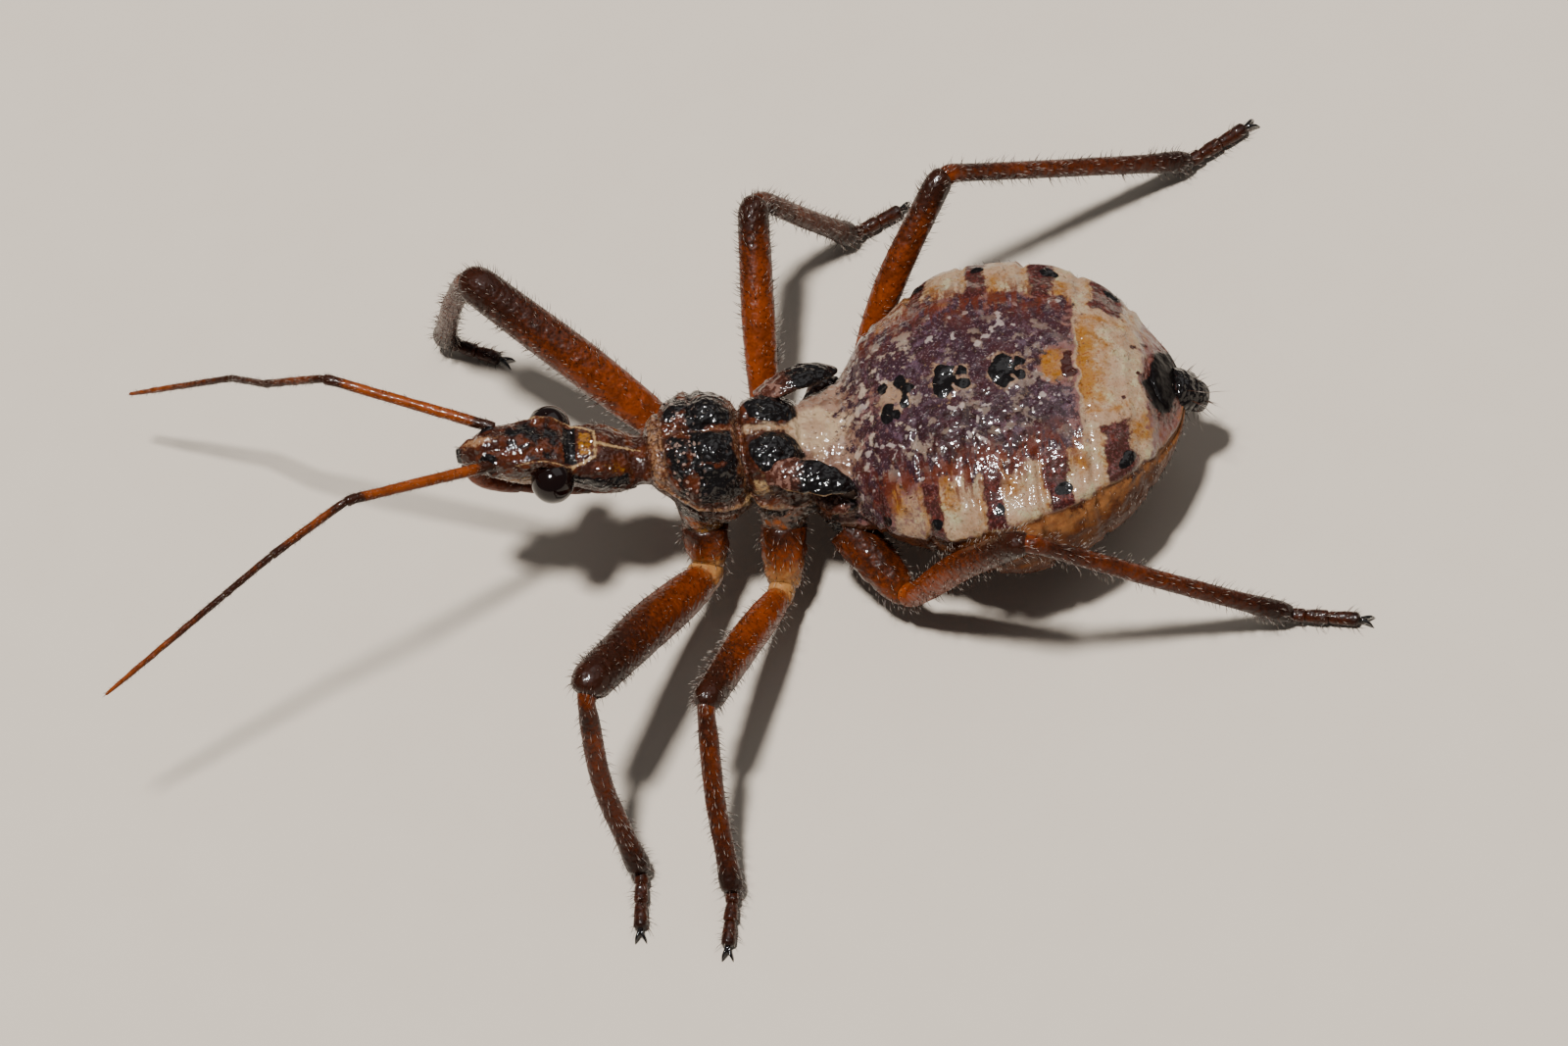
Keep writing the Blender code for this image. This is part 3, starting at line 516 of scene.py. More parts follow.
def grid_shell(rings, fields, reach=(0.0, 1.0)):
    """A closed shell through rings of equal count, with a point in the middle of each end."""
    rows, count = rings.shape[:2]
    index = np.arange(rows * count).reshape(rows, count)
    after = np.roll(index, -1, axis=1)
    quads = np.stack([index[:-1], after[:-1], after[1:], index[1:]], -1).reshape(-1, 4)
    first = rows * count
    start_fan = [(int(b), int(a), first) for a, b in zip(index[0], after[0])]
    end_fan = [(int(a), int(b), first + 1) for a, b in zip(index[-1], after[-1])]
    u, v = np.meshgrid(np.linspace(*reach, rows), np.arange(count) / count, indexing="ij")
    wide = 1 / count
    corners = np.stack([np.stack([u[:-1], v[:-1]], -1), np.stack([u[:-1], v[:-1] + wide], -1),
                        np.stack([u[1:], v[1:] + wide], -1), np.stack([u[1:], v[1:]], -1)], 2)
    fan_maps = []
    for place, forward in ((reach[0], False), (reach[1], True)):
        for k in range(count):
            edge = [(place, (k + 1) / count), (place, k / count)]
            fan_maps += (edge[::-1] if forward else edge) + [(place, (k + 0.5) / count)]
    points = np.concatenate([rings.reshape(-1, 3), rings[:1].mean(1), rings[-1:].mean(1)])
    point_maps = np.concatenate([np.stack([u, v], -1).reshape(-1, 2),
                                 [[reach[0], 0.5], [reach[1], 0.5]]])
    lie = unit(np.gradient(rings.mean(1), axis=0))
    lie = np.concatenate([np.repeat(lie, count, axis=0), lie[:1], lie[-1:]])
    spread = {}
    for name, values in fields.items():
        values = np.broadcast_to(values, (rows, count)).astype(float)
        spread[name] = np.concatenate([values.reshape(-1), [values[0].mean(), values[-1].mean()]])
    corner_maps = np.concatenate([corners.reshape(-1, 2), np.array(fan_maps)])
    return Shell(points, quads.tolist() + start_fan + end_fan, corner_maps, point_maps, lie, spread)


def joined(shells):
    """Several shells as one."""
    faces = []
    start = 0
    for shell in shells:
        faces += [tuple(corner + start for corner in face) for face in shell.faces]
        start += len(shell.points)
    points, corner_maps, point_maps, lie = (
        np.concatenate([getattr(shell, part) for shell in shells])
        for part in ("points", "corner_maps", "point_maps", "lie"))
    names = sorted({name for shell in shells for name in shell.fields})
    fields = {name: np.concatenate([shell.fields.get(name, np.zeros(len(shell.points)))
                                    for shell in shells]) for name in names}
    return Shell(points, faces, corner_maps, point_maps, lie, fields)


def tube_rings(path, side, half_width, half_depth, count, rounding=(0.0, 0.0)):
    """Oval rings square to a path; rounding closes an end like a dome over that length."""
    lengths = path_lengths(path)
    share = lengths / lengths[-1]
    along = unit(np.gradient(path, axis=0))
    side = np.broadcast_to(np.array(side, float), path.shape)
    side = unit(side - along * (side * along).sum(1, keepdims=True))
    depth = np.cross(along, side)
    dome = np.ones(len(path))
    for reach, from_end in ((rounding[0], lengths), (rounding[1], lengths[-1] - lengths)):
        if reach > 0:
            t = np.clip(1 - from_end / reach, 0, 1)
            dome *= np.sqrt(np.maximum(1 - t * t, 0.0))
    dome = np.maximum(dome, 0.03)
    angle = 2 * math.pi * np.arange(count) / count
    wide = (smooth(half_width, share) * dome)[:, None, None]
    deep = (smooth(half_depth, share) * dome)[:, None, None]
    return (path[:, None, :] + side[:, None, :] * wide * np.cos(angle)[None, :, None]
            + depth[:, None, :] * deep * np.sin(angle)[None, :, None])


def add_piece(context, name, shell, finishes, stands_for=(), faces_of=None):
    """Turn a shell to an object in metres in the frame's place, riding on the body, dressed in
    finishes and standing for nodes of the frame."""
    data = bpy.data.meshes.new(name)
    data.from_pydata(((shell.points - ORIGIN) * MM).tolist(), [], shell.faces)
    corners = data.uv_layers.new(name="OFBake").data
    corners.foreach_set("uv", shell.corner_maps.astype(np.float32).reshape(-1))
    carried = [(field, "FLOAT", "value", values) for field, values in shell.fields.items()]
    carried += [("lie", "FLOAT_VECTOR", "vector", shell.lie),
                ("place", "FLOAT2", "vector", shell.point_maps)]
    for title, kind, key, values in carried:
        attribute = data.attributes.new(title, kind, "POINT")
        attribute.data.foreach_set(key, values.astype(np.float32).reshape(-1))
    for finish in finishes:
        data.materials.append(finish_of(context, finish))
    if faces_of is not None:
        data.polygons.foreach_set("material_index", faces_of.astype(np.int32))
    data.shade_smooth()
    data.validate()
    if not len(data.polygons):
        raise RuntimeError(f"{name} has no faces")
    piece = bpy.data.objects.new(name, data)
    context.scene.collection.objects.link(piece)
    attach(piece, "root")
    if stands_for:
        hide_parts(*stands_for)


def add_node(tree, kind, inputs=None, output=0, **settings):
    """Add a shader node, set it up, fill its inputs with values or links and return an output."""
    node = tree.nodes.new("ShaderNode" + kind)
    for name, value in settings.items():
        setattr(node, name, value)
    for name, value in (inputs or {}).items():
        if isinstance(value, bpy.types.NodeSocket):
            tree.links.new(value, node.inputs[name])
        else:
            node.inputs[name].default_value = value
    return node.outputs[output]


class Painter:
    """Builds one material: its fixed values, its colour layer by layer, and its relief.

    Patterns are noises by name, each with the real size of its features in millimetres, its
    detail and its roughness, and where it is drawn out round the body, by how much.
    """

    def __init__(self, name, base, patterns, roughness, **constants):
        self.material = bpy.data.materials.new(name)
        self.material.use_nodes = True
        self.tree = self.material.node_tree
        self.shader = self.tree.nodes["Principled BSDF"]
        self.shader.inputs["Roughness"].default_value = roughness
        for socket, value in constants.items():
            self.shader.inputs[socket.replace("_", " ")].default_value = value
        self.colour = (*base, 1.0)
        self.place = add_node(self.tree, "TexCoord", output="Object")
        self.patterns = {}
        for title, (size, detail, coarseness, *squeeze) in patterns.items():
            place = self.place
            if squeeze:
                scale = (1.0, *squeeze * 2)
                place = add_node(self.tree, "Mapping", {"Vector": place, "Scale": scale})
            self.patterns[title] = add_node(self.tree, "TexNoise", {
                "Vector": place, "Scale": 1 / (size * MM), "Detail": detail, "Roughness": coarseness})

    def read(self, source):
        """The output of a pattern, or of a field that the skin's points carry, by its name."""
        if not isinstance(source, str):
            return source
        if source in self.patterns:
            return self.patterns[source]
        return add_node(self.tree, "Attribute", output="Fac", attribute_name=source)

    def product(self, first, second):
        """Two values multiplied, each a number, an output or a name."""
        return add_node(self.tree, "Math", {0: self.read(first), 1: self.read(second)},
                        operation="MULTIPLY")

    def part(self, source, low, high, within=None, floor=0.0, ceiling=1.0):
        """The part of a value between low and high stretched to the full range, inside a mask."""
        part = add_node(self.tree, "MapRange", {
            "Value": self.read(source), "From Min": low, "From Max": high, "To Min": floor,
            "To Max": ceiling}, interpolation_type="SMOOTHSTEP")
        return part if within is None else self.product(within, part)

    def edge(self, field, pattern, amount, softness=0.10):
        """A field whose edge follows a pattern, which mostly keeps between 0.3 and 0.7."""
        spread = amount * 2.5
        wander = add_node(self.tree, "Math", {0: self.read(pattern), 1: spread, 2: -spread / 2},
                          operation="MULTIPLY_ADD")
        total = add_node(self.tree, "Math", {0: self.read(field), 1: wander}, operation="ADD")
        return self.part(total, 0.5 - softness, 0.5 + softness)

    def layer(self, mask, colour, strength=1.0):
        """Lay a colour, a hex value or one of the user's, over what is there."""
        mask = self.read(mask) if strength == 1.0 else self.product(mask, strength)
        if isinstance(colour, str):
            colour = linear(colour)
        self.colour = add_node(self.tree, "Mix", {0: mask, 6: self.colour, 7: (*colour, 1.0)}, 2,
                               data_type="RGBA")

    def finish(self, *bumps):
        """Give the shader its colour and its relief, under the wax coat and in it; a bump is its
        height, its real depth in millimetres and its strength."""
        self.tree.links.new(self.colour, self.shader.inputs["Base Color"])
        normal = None
        for height, depth, strength in bumps:
            inputs = {"Height": self.read(height), "Distance": depth * MM, "Strength": strength}
            if normal is not None:
                inputs["Normal"] = normal
            normal = add_node(self.tree, "Bump", inputs)
            self.tree.links.new(normal, self.shader.inputs["Normal"])
            self.tree.links.new(normal, self.shader.inputs["Coat Normal"])
        return self.material


def lay_membrane(paint):
    """Soft pinkish skin behind the plates, cream along its middle, over what is there."""
    paint.layer(paint.edge("membrane", "fleck", 0.5, 0.25), "#775c4c")
    paint.layer(paint.part("cloud", 0.48, 0.60, "membrane"), "#4f3428", 0.8)
    soft = paint.edge("soft", "fleck", 0.6, 0.30)
    paint.layer(soft, "#917a5f")
    paint.layer(paint.part("cloud", 0.44, 0.58, soft), "#7c604c", 0.7)


def thorax_cuticle(name, colours):
    """Tanned sclerotin of head and thorax, hardened after the moult and waxed: amber to black
    with cream seams, wet-looking, its fine pebbling breaking the highlights up."""
    paint = Painter(name, colours.amber, {
        "blotch": (0.28, 3.0, 0.6), "grain": (0.07, 4.0, 0.7), "fleck": (0.17, 4.0, 0.7),
        "cloud": (0.42, 4.0, 0.6), "pebbles": (0.16, 1.0, 0.4), "dimples": (0.08, 1.0, 0.4)},
        0.45, Specular_IOR_Level=0.08, Coat_Weight=0.90, Coat_Roughness=0.05, Coat_IOR=1.42)
    paint.layer(paint.part("blotch", 0.40, 0.56), "#240e07", 0.85)
    lay_membrane(paint)
    paint.layer(paint.edge("tan", "grain", 0.6, 0.2), colours.tan)
    flank = paint.edge("grey", "grain", 0.6, 0.25)
    paint.layer(flank, "#4a382e")
    paint.layer(paint.part("blotch", 0.50, 0.38, flank), "#6b3410", 0.9)
    paint.layer(paint.part("blotch", 0.56, 0.64, flank), "#0c0705", 0.9)
    paint.layer(paint.edge("orange", "grain", 0.5, 0.2), colours.orange)
    paint.layer(paint.edge("black", "blotch", 0.40, 0.12), colours.black)
    paint.layer(paint.edge("cream", "grain", 0.6, 0.20), "#8b6f4b")
    cells = add_node(paint.tree, "TexVoronoi", {"Vector": paint.place, "Scale": 1 / (0.13 * MM)},
                     "Distance")
    clots = add_node(paint.tree, "Math", {0: paint.read("grain"), 1: 0.9, 2: cells},
                     operation="MULTIPLY_ADD")
    paint.layer(paint.part(clots, 0.74, 0.62, "granules"), "#8b7064", 0.8)
    return paint.finish(("pebbles", 0.060, 1.0), ("dimples", 0.022, 1.0))


def abdomen_cuticle(name, colours):
    """Thin cuticle stretched over a full abdomen: cream and orange blocks show through between
    purple-brown pigment, and fine cross wrinkles break its wet gloss into short streaks."""
    paint = Painter(name, colours.mauve, {
        "cloud": (0.42, 4.0, 0.6), "grain": (0.08, 4.0, 0.7), "fleck": (0.17, 4.0, 0.7),
        "dust_and_glints": (0.045, 2.0, 0.6), "drifts": (0.9, 3.0, 0.6), "specks": (0.24, 2.0, 0.5),
        "lines": (0.12, 3.0, 0.6, 0.28), "clots": (0.30, 3.0, 0.6), "waves": (0.24, 1.0, 0.4),
        "creases": (0.16, 1.0, 0.4, 0.28), "dimples": (0.08, 1.0, 0.4)},
        0.45, Specular_IOR_Level=0.08, Coat_Roughness=0.09, Coat_IOR=1.40,
        Subsurface_Weight=0.10, Subsurface_Scale=0.0002)
    paint.layer(paint.part("fleck", 0.42, 0.58), "#5b3428", 0.9)
    lay_membrane(paint)
    # The skin below the side margin: its brown is darkened as painted shade under the abdomen
    paint.layer(paint.edge("belly", "cloud", 0.4, 0.25), colours.belly)
    paint.layer(paint.part("cloud", 0.42, 0.62, "belly"), "#5e3516", 0.8)
    paint.layer(paint.edge("glow", "cloud", 0.8, 0.35), "#7a4f2c", 0.8)
    paint.layer(paint.part("fleck", 0.50, 0.62, "glow"), "#5e3319", 0.7)
    cream = paint.edge("cream", "fleck", 0.7, 0.22)
    paint.layer(cream, colours.cream)
    paint.layer(paint.part("cloud", 0.46, 0.60, cream), "#83634b", 0.65)
    paint.layer(paint.part("cloud", 0.46, 0.36, cream), "#96906e", 0.60)
    paint.layer(paint.part("dust_and_glints", 0.56, 0.64, cream), "#6e4f35", 0.6)
    paint.layer(paint.edge("orange", "fleck", 0.6, 0.34), colours.orange, 0.94)
    paint.layer(paint.part("dust_and_glints", 0.56, 0.62, "orange"), "#5c2507", 0.7)
    purple = paint.edge("purple", "fleck", 0.9, 0.18)
    paint.layer(purple, colours.purple)
    paler = paint.part("drifts", 0.46, 0.62, purple, 0.10, 0.85)
    paint.layer(paint.part("fleck", 0.52, 0.38, paler), "#49353f")
    paint.layer(paint.part("fleck", 0.58, 0.68, purple), "#120a10", 0.8)
    # Fine pale specks on the purple: painted glints of light on the crinkled skin, with some pale dust
    paint.layer(paint.part("dust_and_glints", 0.58, 0.66, purple), "#7c6a6c", 0.45)
    rust = paint.part("cloud", 0.46, 0.62, purple)
    paint.layer(paint.product(rust, "wrinkle"), "#431c10", 0.80)
    # Darker crossbars and dark inner ends of the bands, with painted shade over the near flank
    paint.layer(paint.edge("dark", "fleck", 0.8, 0.20), "#1c0908", 0.85)
    paint.layer(paint.part("specks", 0.635, 0.68, purple), "#8f7f78", 0.75)
    paint.layer(paint.part("lines", 0.46, 0.56, "streak"), "#4a1b0a", 0.85)
    paint.layer(paint.part("clots", 0.54, 0.62, "granules"), "#94806f", 0.85)
    band = paint.edge("band", "fleck", 0.60, 0.20)
    paint.layer(band, "#2b0c0b", 0.96)
    paint.layer(paint.part("fleck", 0.52, 0.62, band), "#4f2018", 0.8)
    paint.layer(paint.part("dust_and_glints", 0.55, 0.62, band), "#5a3434", 0.7)
    paint.layer(paint.edge("pale", "fleck", 0.90, 0.25), "#7a5f4a")
    paint.layer(paint.edge("brown", "grain", 0.6, 0.2), "#2c0e08")
    paint.layer(paint.edge("black", "grain", 0.25, 0.10), colours.black)
    gloss = paint.part("matt", 0.3, 0.8, None, 0.95, 0.14)
    paint.tree.links.new(gloss, paint.shader.inputs["Coat Weight"])
    folds = paint.product("creases", "wrinkle")
    return paint.finish((folds, 0.030, 1.0), ("waves", 0.070, 1.0), ("dimples", 0.016, 1.0))


def limb_cuticle(name, colours, base, depth):
    """Tanned sclerotin drawn over a limb: clear orange to red-brown, darkening to black at the
    joints, glossy, with the pits that carry its bristles."""
    paint = Painter(name, base, {
        "blotch": (0.35, 3.0, 0.6), "grain": (0.08, 4.0, 0.7), "pebbles": (0.12, 1.0, 0.4)},
        0.42, Specular_IOR_Level=0.12, Coat_Weight=0.34, Coat_Roughness=0.09, Coat_IOR=1.36,
        Subsurface_Weight=0.08, Subsurface_Scale=0.0002)
    paint.layer(paint.part("blotch", 0.40, 0.66), "#3a1505", 0.50)
    paint.layer(paint.edge("shin", "blotch", 0.3, 0.3), colours.shin)
    paint.layer(paint.edge("cream", "grain", 0.4, 0.25), "#8d6236")
    paint.layer(paint.edge("dark", "grain", 0.35, 0.34), "#150804", 0.92)
    pits = add_node(paint.tree, "TexVoronoi", {"Vector": paint.place, "Scale": 1 / (0.13 * MM)},
                    "Distance")
    paint.layer(paint.part(pits, 0.20, 0.08), "#160803", 0.7)
    return paint.finish(("pebbles", depth, 1.0), (pits, 0.010, 1.0))


def leg_cuticle(name, colours):
    """The legs and beak: orange-brown, with pebbles 0.03 mm deep."""
    return limb_cuticle(name, colours, colours.leg, 0.030)


def feeler_cuticle(name, colours):
    """The feelers: orange, and nearly smooth."""
    return limb_cuticle(name, colours, colours.feeler, 0.010)


def black_cuticle(name, colours):
    """Melanised sclerotin, fully hardened: near black and glassy, with brown roots and cream
    margins where the plate thins out and pebbling that scatters small sharp highlights."""
    paint = Painter(name, colours.black, {
        "grain": (0.08, 4.0, 0.7), "specks": (0.11, 3.0, 0.6), "pebbles": (0.16, 1.0, 0.4),
        "dimples": (0.08, 1.0, 0.4)},
        0.45, Specular_IOR_Level=0.06, Coat_Weight=0.90, Coat_Roughness=0.05, Coat_IOR=1.42)
    paint.layer(paint.part("grain", 0.55, 0.75), "#160c0a", 0.6)
    root = paint.edge("brown", "grain", 0.5, 0.25)
    paint.layer(root, "#36180e")
    paint.layer(paint.part("specks", 0.50, 0.60, root), "#6b4d42", 0.8)
    paint.layer(paint.edge("cream", "grain", 0.4, 0.15), "#8c6c48")
    return paint.finish(("pebbles", 0.055, 1.0), ("dimples", 0.020, 1.0))


def eye_cornea(name, colours):
    """Clear cornea in hexagonal lenses over dark pigment: near black with a red-brown depth and
    one sharp highlight; the lenses are drawn 0.04 mm wide so that they show."""
    paint = Painter(name, colours.eye, {}, 0.14, Specular_IOR_Level=0.10, Coat_Weight=0.8,
                    Coat_Roughness=0.03, Coat_IOR=1.38)
    paint.layer(paint.part("rim", 0.45, 0.75), "#5d4a3a")
    lenses = add_node(paint.tree, "TexVoronoi", {"Vector": paint.place, "Scale": 1 / (0.04 * MM)},
                      "Distance")
    return paint.finish((lenses, 0.002, 0.25))


def bristle_chitin(name, colours):
    """Bristles of hollow chitin, tapered: brown at the root and clear, so whitish, at the tip."""
    paint = Painter(name, linear("#3b2114"), {}, 0.35, IOR=1.55)
    paint.layer(paint.part("tip", 0.45, 0.95), colours.bristle)
    return paint.finish()


def floor_card(name, colours):
    """Uncoated card, pressed: pale and matt, with a faint fibre that keeps it from looking flat."""
    paint = Painter(name, colours.floor, {"cloud": (1.5, 4.0, 0.6), "fibre": (0.2, 3.0, 0.6)}, 0.9)
    paint.layer("cloud", "#bfb4a6", 0.4)
    return paint.finish(("fibre", 0.01, 0.3))


CUTICLES = {
    "sclerotin_tanned_waxed": thorax_cuticle,
    "cuticle_stretched_waxed": abdomen_cuticle,
    "sclerotin_limb_drawn": leg_cuticle,
    "sclerotin_feeler_drawn": feeler_cuticle,
    "sclerotin_melanised_waxed": black_cuticle,
    "cornea_faceted": eye_cornea,
    "chitin_bristle_tapered": bristle_chitin,
    "card_uncoated_pressed": floor_card,
}


def finish_of(context, name):
    """The material of a name, made when it is first asked for."""
    made = bpy.data.materials.get(name)
    return made or CUTICLES[name](name, context.scene.nymph_colours)


def head_fields(x, y, z, up):
    """Markings of the head, read on the straight head."""
    across = np.abs(y)
    top = up > -0.1
    stem = stroke(x, y, [(2.36, 0.0), (3.12, 0.0)]) - smooth([(2.4, 0.006), (3.1, 0.035)], x)
    bar = stroke(x, across, [(3.13, 0.0), (3.15, 0.26), (3.36, 0.38), (3.62, 0.47)]) - 0.022
    brow = stroke(x, across, [(3.62, 0.47), (3.95, 0.50), (4.30, 0.48), (4.60, 0.47)]) - 0.016
    cheek = stroke(x, z, [(4.35, 4.16), (4.75, 4.22), (5.10, 4.28)]) - 0.035
    behind_eye = smooth([(2.6, 3.60), (3.6, 3.92)], x)
    side_band = most(slab(x, 2.62, 3.70), np.abs(z - behind_eye) - 0.10)
    crossbar = most(slab(x, 3.50, 3.72), across - 0.40)
    feeler_root = oval(x, across, (5.12, 0.36), (0.20, 0.12))
    crown = oval(x, across, (4.25, 0.12), (0.62, 0.40))
    square = most(slab(x, 3.19, 3.46), across - 0.27)
    lobe = oval(x, across, (2.80, 0.42), (0.34, 0.12))
    gena = oval(x, z, (4.72, 4.02), (0.70, 0.16))
    throat = z - smooth([(2.4, 3.28), (3.6, 3.62), (5.0, 3.95)], x)
    return {
        "cream": most(inside(np.minimum(stem, bar), 0.05) * top, 0.7 * inside(brow, 0.05) * top,
                      0.6 * inside(cheek, 0.06) * (across > 0.3)),
        "black": most(inside(crossbar, 0.05) * top, inside(side_band, 0.09) * (across > 0.3),
                      inside(feeler_root, 0.07) * top, 0.75 * inside(5.56 - x, 0.10),
                      0.52 * inside(crown, 0.15) * top),
        "orange": most(0.56 * inside(square, 0.06) * top, 0.42 * inside(lobe, 0.12) * top,
                       0.85 * inside(gena, 0.10) * (across > 0.2)),
        "tan": 0.75 * inside(oval(x, y, (5.24, 0.0), (0.30, 0.10)), 0.08) * top,
        "grey": 0.25 * inside(throat, 0.12),
    }


def thorax_fields(x, y, z, up):
    """Markings of the three rings of the thorax."""
    across = np.abs(y)
    top = up > 0.1
    flank = across > 0.6
    collar = slab(x, 1.93, 2.24)
    rear_edge = slab(x, 0.50, 0.64)
    middle = across - smooth([(-0.6, 0.10), (0.4, 0.04), (0.7, 0.04), (1.0, 0.02), (1.9, 0.03)], x)
    lateral = stroke(x, z, FLANK_LINE) - 0.055
    points = np.stack([x, y, z], -1)
    x = x + 0.035 * ripple(points, 0.30, 80)
    across = across + 0.035 * ripple(points, 0.30, 81)
    cut = stroke(x, across, [(1.30, 0.72), (1.05, 0.78), (0.80, 0.74)]) - 0.02
    rear_lobe = most(slab(x, 0.62, 1.38), slab(across, 0.06, 1.30), 0.06 - lateral, -cut)
    front_lobe = most(oval(x, across, (1.64, 0.56), (0.30, 0.60)), 0.07 - across)
    plate = most(oval(x, across, (-0.13, 0.52), (0.48, 0.40)), 0.10 - across)
    side_spot = oval(x, z, (1.58, 2.86), (0.32, 0.13))
    low_patch = oval(x, z, (-0.85, 2.05), (0.26, 0.16))
    low_spot = oval(x, z, (0.10, 2.45), (0.30, 0.10))
    pad_root = oval(x, across, (0.28, 0.98), (0.22, 0.13))
    joint = oval(x, z, (0.60, 2.74), (0.09, 0.18))
    below = z - smooth([(-1.3, 2.6), (0.5, 2.7), (2.0, 3.1)], x)
    return {
        "tan": most(0.50 * inside(collar, 0.10), 0.52 * inside(rear_edge, 0.08),
                    0.8 * inside(np.abs(x - 1.93) - 0.02, 0.05),
                    0.64 * inside(middle, 0.09) * top * (x > -0.5),
                    0.80 * inside(lateral, 0.08) * flank),
        "black": most(inside(rear_lobe, 0.12) * top, 0.66 * inside(front_lobe, 0.16) * top,
                      inside(side_spot, 0.08) * flank, inside(plate, 0.06) * top,
                      0.85 * inside(low_patch, 0.12) * flank, 0.8 * inside(low_spot, 0.10) * flank),
        "cream": most(0.50 * inside(lateral + 0.02, 0.08) * flank,
                      0.66 * inside(pad_root, 0.14) * top, 0.9 * inside(joint, 0.06) * flank),
        "orange": 0.5 * inside(oval(x, z, (1.35, 2.40), (0.5, 0.35)), 0.2) * flank,
        "grey": 0.8 * inside(below, 0.15),
        "granules": most(inside(collar, 0.2), 0.7 * inside(rear_edge, 0.15),
                         0.8 * inside(front_lobe - 0.1, 0.1) * top,
                         0.8 * inside(lateral - 0.12, 0.1) * flank),
    }


def band_fields(x, share, reach):
    """The dark bands of the side margin, with the orange clouds, spots and stains round them."""
    bands, spots, clouds, stains = np.zeros((4, *np.shape(share)))
    for front, rear, spot in zip(RING_FRONTS, RING_REARS, SPOTS_X):
        lean = 0.10 * (1 - share)
        low = 0.54 if spot > -6 else 0.48
        band = most(slab(x, rear + lean, front + lean), slab(share, low, 1.02) * reach)
        bands = most(bands, inside(band, 0.09))
        size = 0.13 if spot > -5 else 0.165
        spots = most(spots, inside(np.hypot(x - spot, (share - 0.86) * reach) - size, 0.03))
        cloud = most(slab(x, rear - 0.34, rear + 0.05), slab(share, 0.48, 0.78) * reach)
        ahead = most(slab(x, front - 0.04, front + 0.16), slab(share, 0.50, 0.98) * reach)
        clouds = most(clouds, inside(cloud, 0.22), 0.8 * inside(ahead, 0.12))
        if spot < -4:
            blur = np.hypot(x - spot + 0.1, (share - 1.08) * reach) - 0.22
            stains = most(stains, 0.62 * inside(blur, 0.15))
    return bands, spots, clouds, stains


def gland_fields(x, y):
    """The black marks of the scent glands on the middle of the back, and their pale rims."""
    across = np.abs(y)
    marks, pale, brown = np.zeros((3, *np.shape(x)))
    for place in GLANDS_X[1:3]:
        link = stroke(x, across, [(place + 0.05, 0.25), (place - 0.20, 0.20)]) - 0.035
        mark = reduce(np.minimum, [oval(x, across, (place + 0.15, 0.0), (0.20, 0.38)),
                                   oval(x, across, (place - 0.20, 0.135), (0.135, 0.125)),
                                   oval(x, across, (place - 0.02, 0.0), (0.14, 0.16)), link])
        gap = np.minimum(stroke(x, across, [(place - 0.04, 0.12), (place - 0.10, 0.24)]) - 0.034,
                         stroke(x, across, [(place - 0.13, 0.0), (place - 0.34, 0.0)]) - 0.026)
        marks = most(marks, inside(most(mark, -gap), 0.03))
        pale = most(pale, 0.56 * inside(mark - 0.06, 0.08))
    for ahead, offset, size in FIRST_GLAND_BLOTS:
        blot = oval(x, y, (GLANDS_X[0] + ahead, offset), (size * 0.85, size * 1.1))
        marks = most(marks, 0.9 * inside(blot, 0.05))
    for offset, size in LAST_GLAND_DOTS:
        dot = oval(x, y, (GLANDS_X[3] + 0.08, offset), (size, size * 1.1))
        brown = most(brown, inside(dot, 0.03))
    pale = most(pale, 0.72 * inside(np.hypot(x - GLANDS_X[0], y - 0.02) - 0.38, 0.12),
                0.55 * inside(oval(x, y, (GLANDS_X[3] + 0.06, -0.02), (0.17, 0.42)), 0.12))
    return marks, pale, brown


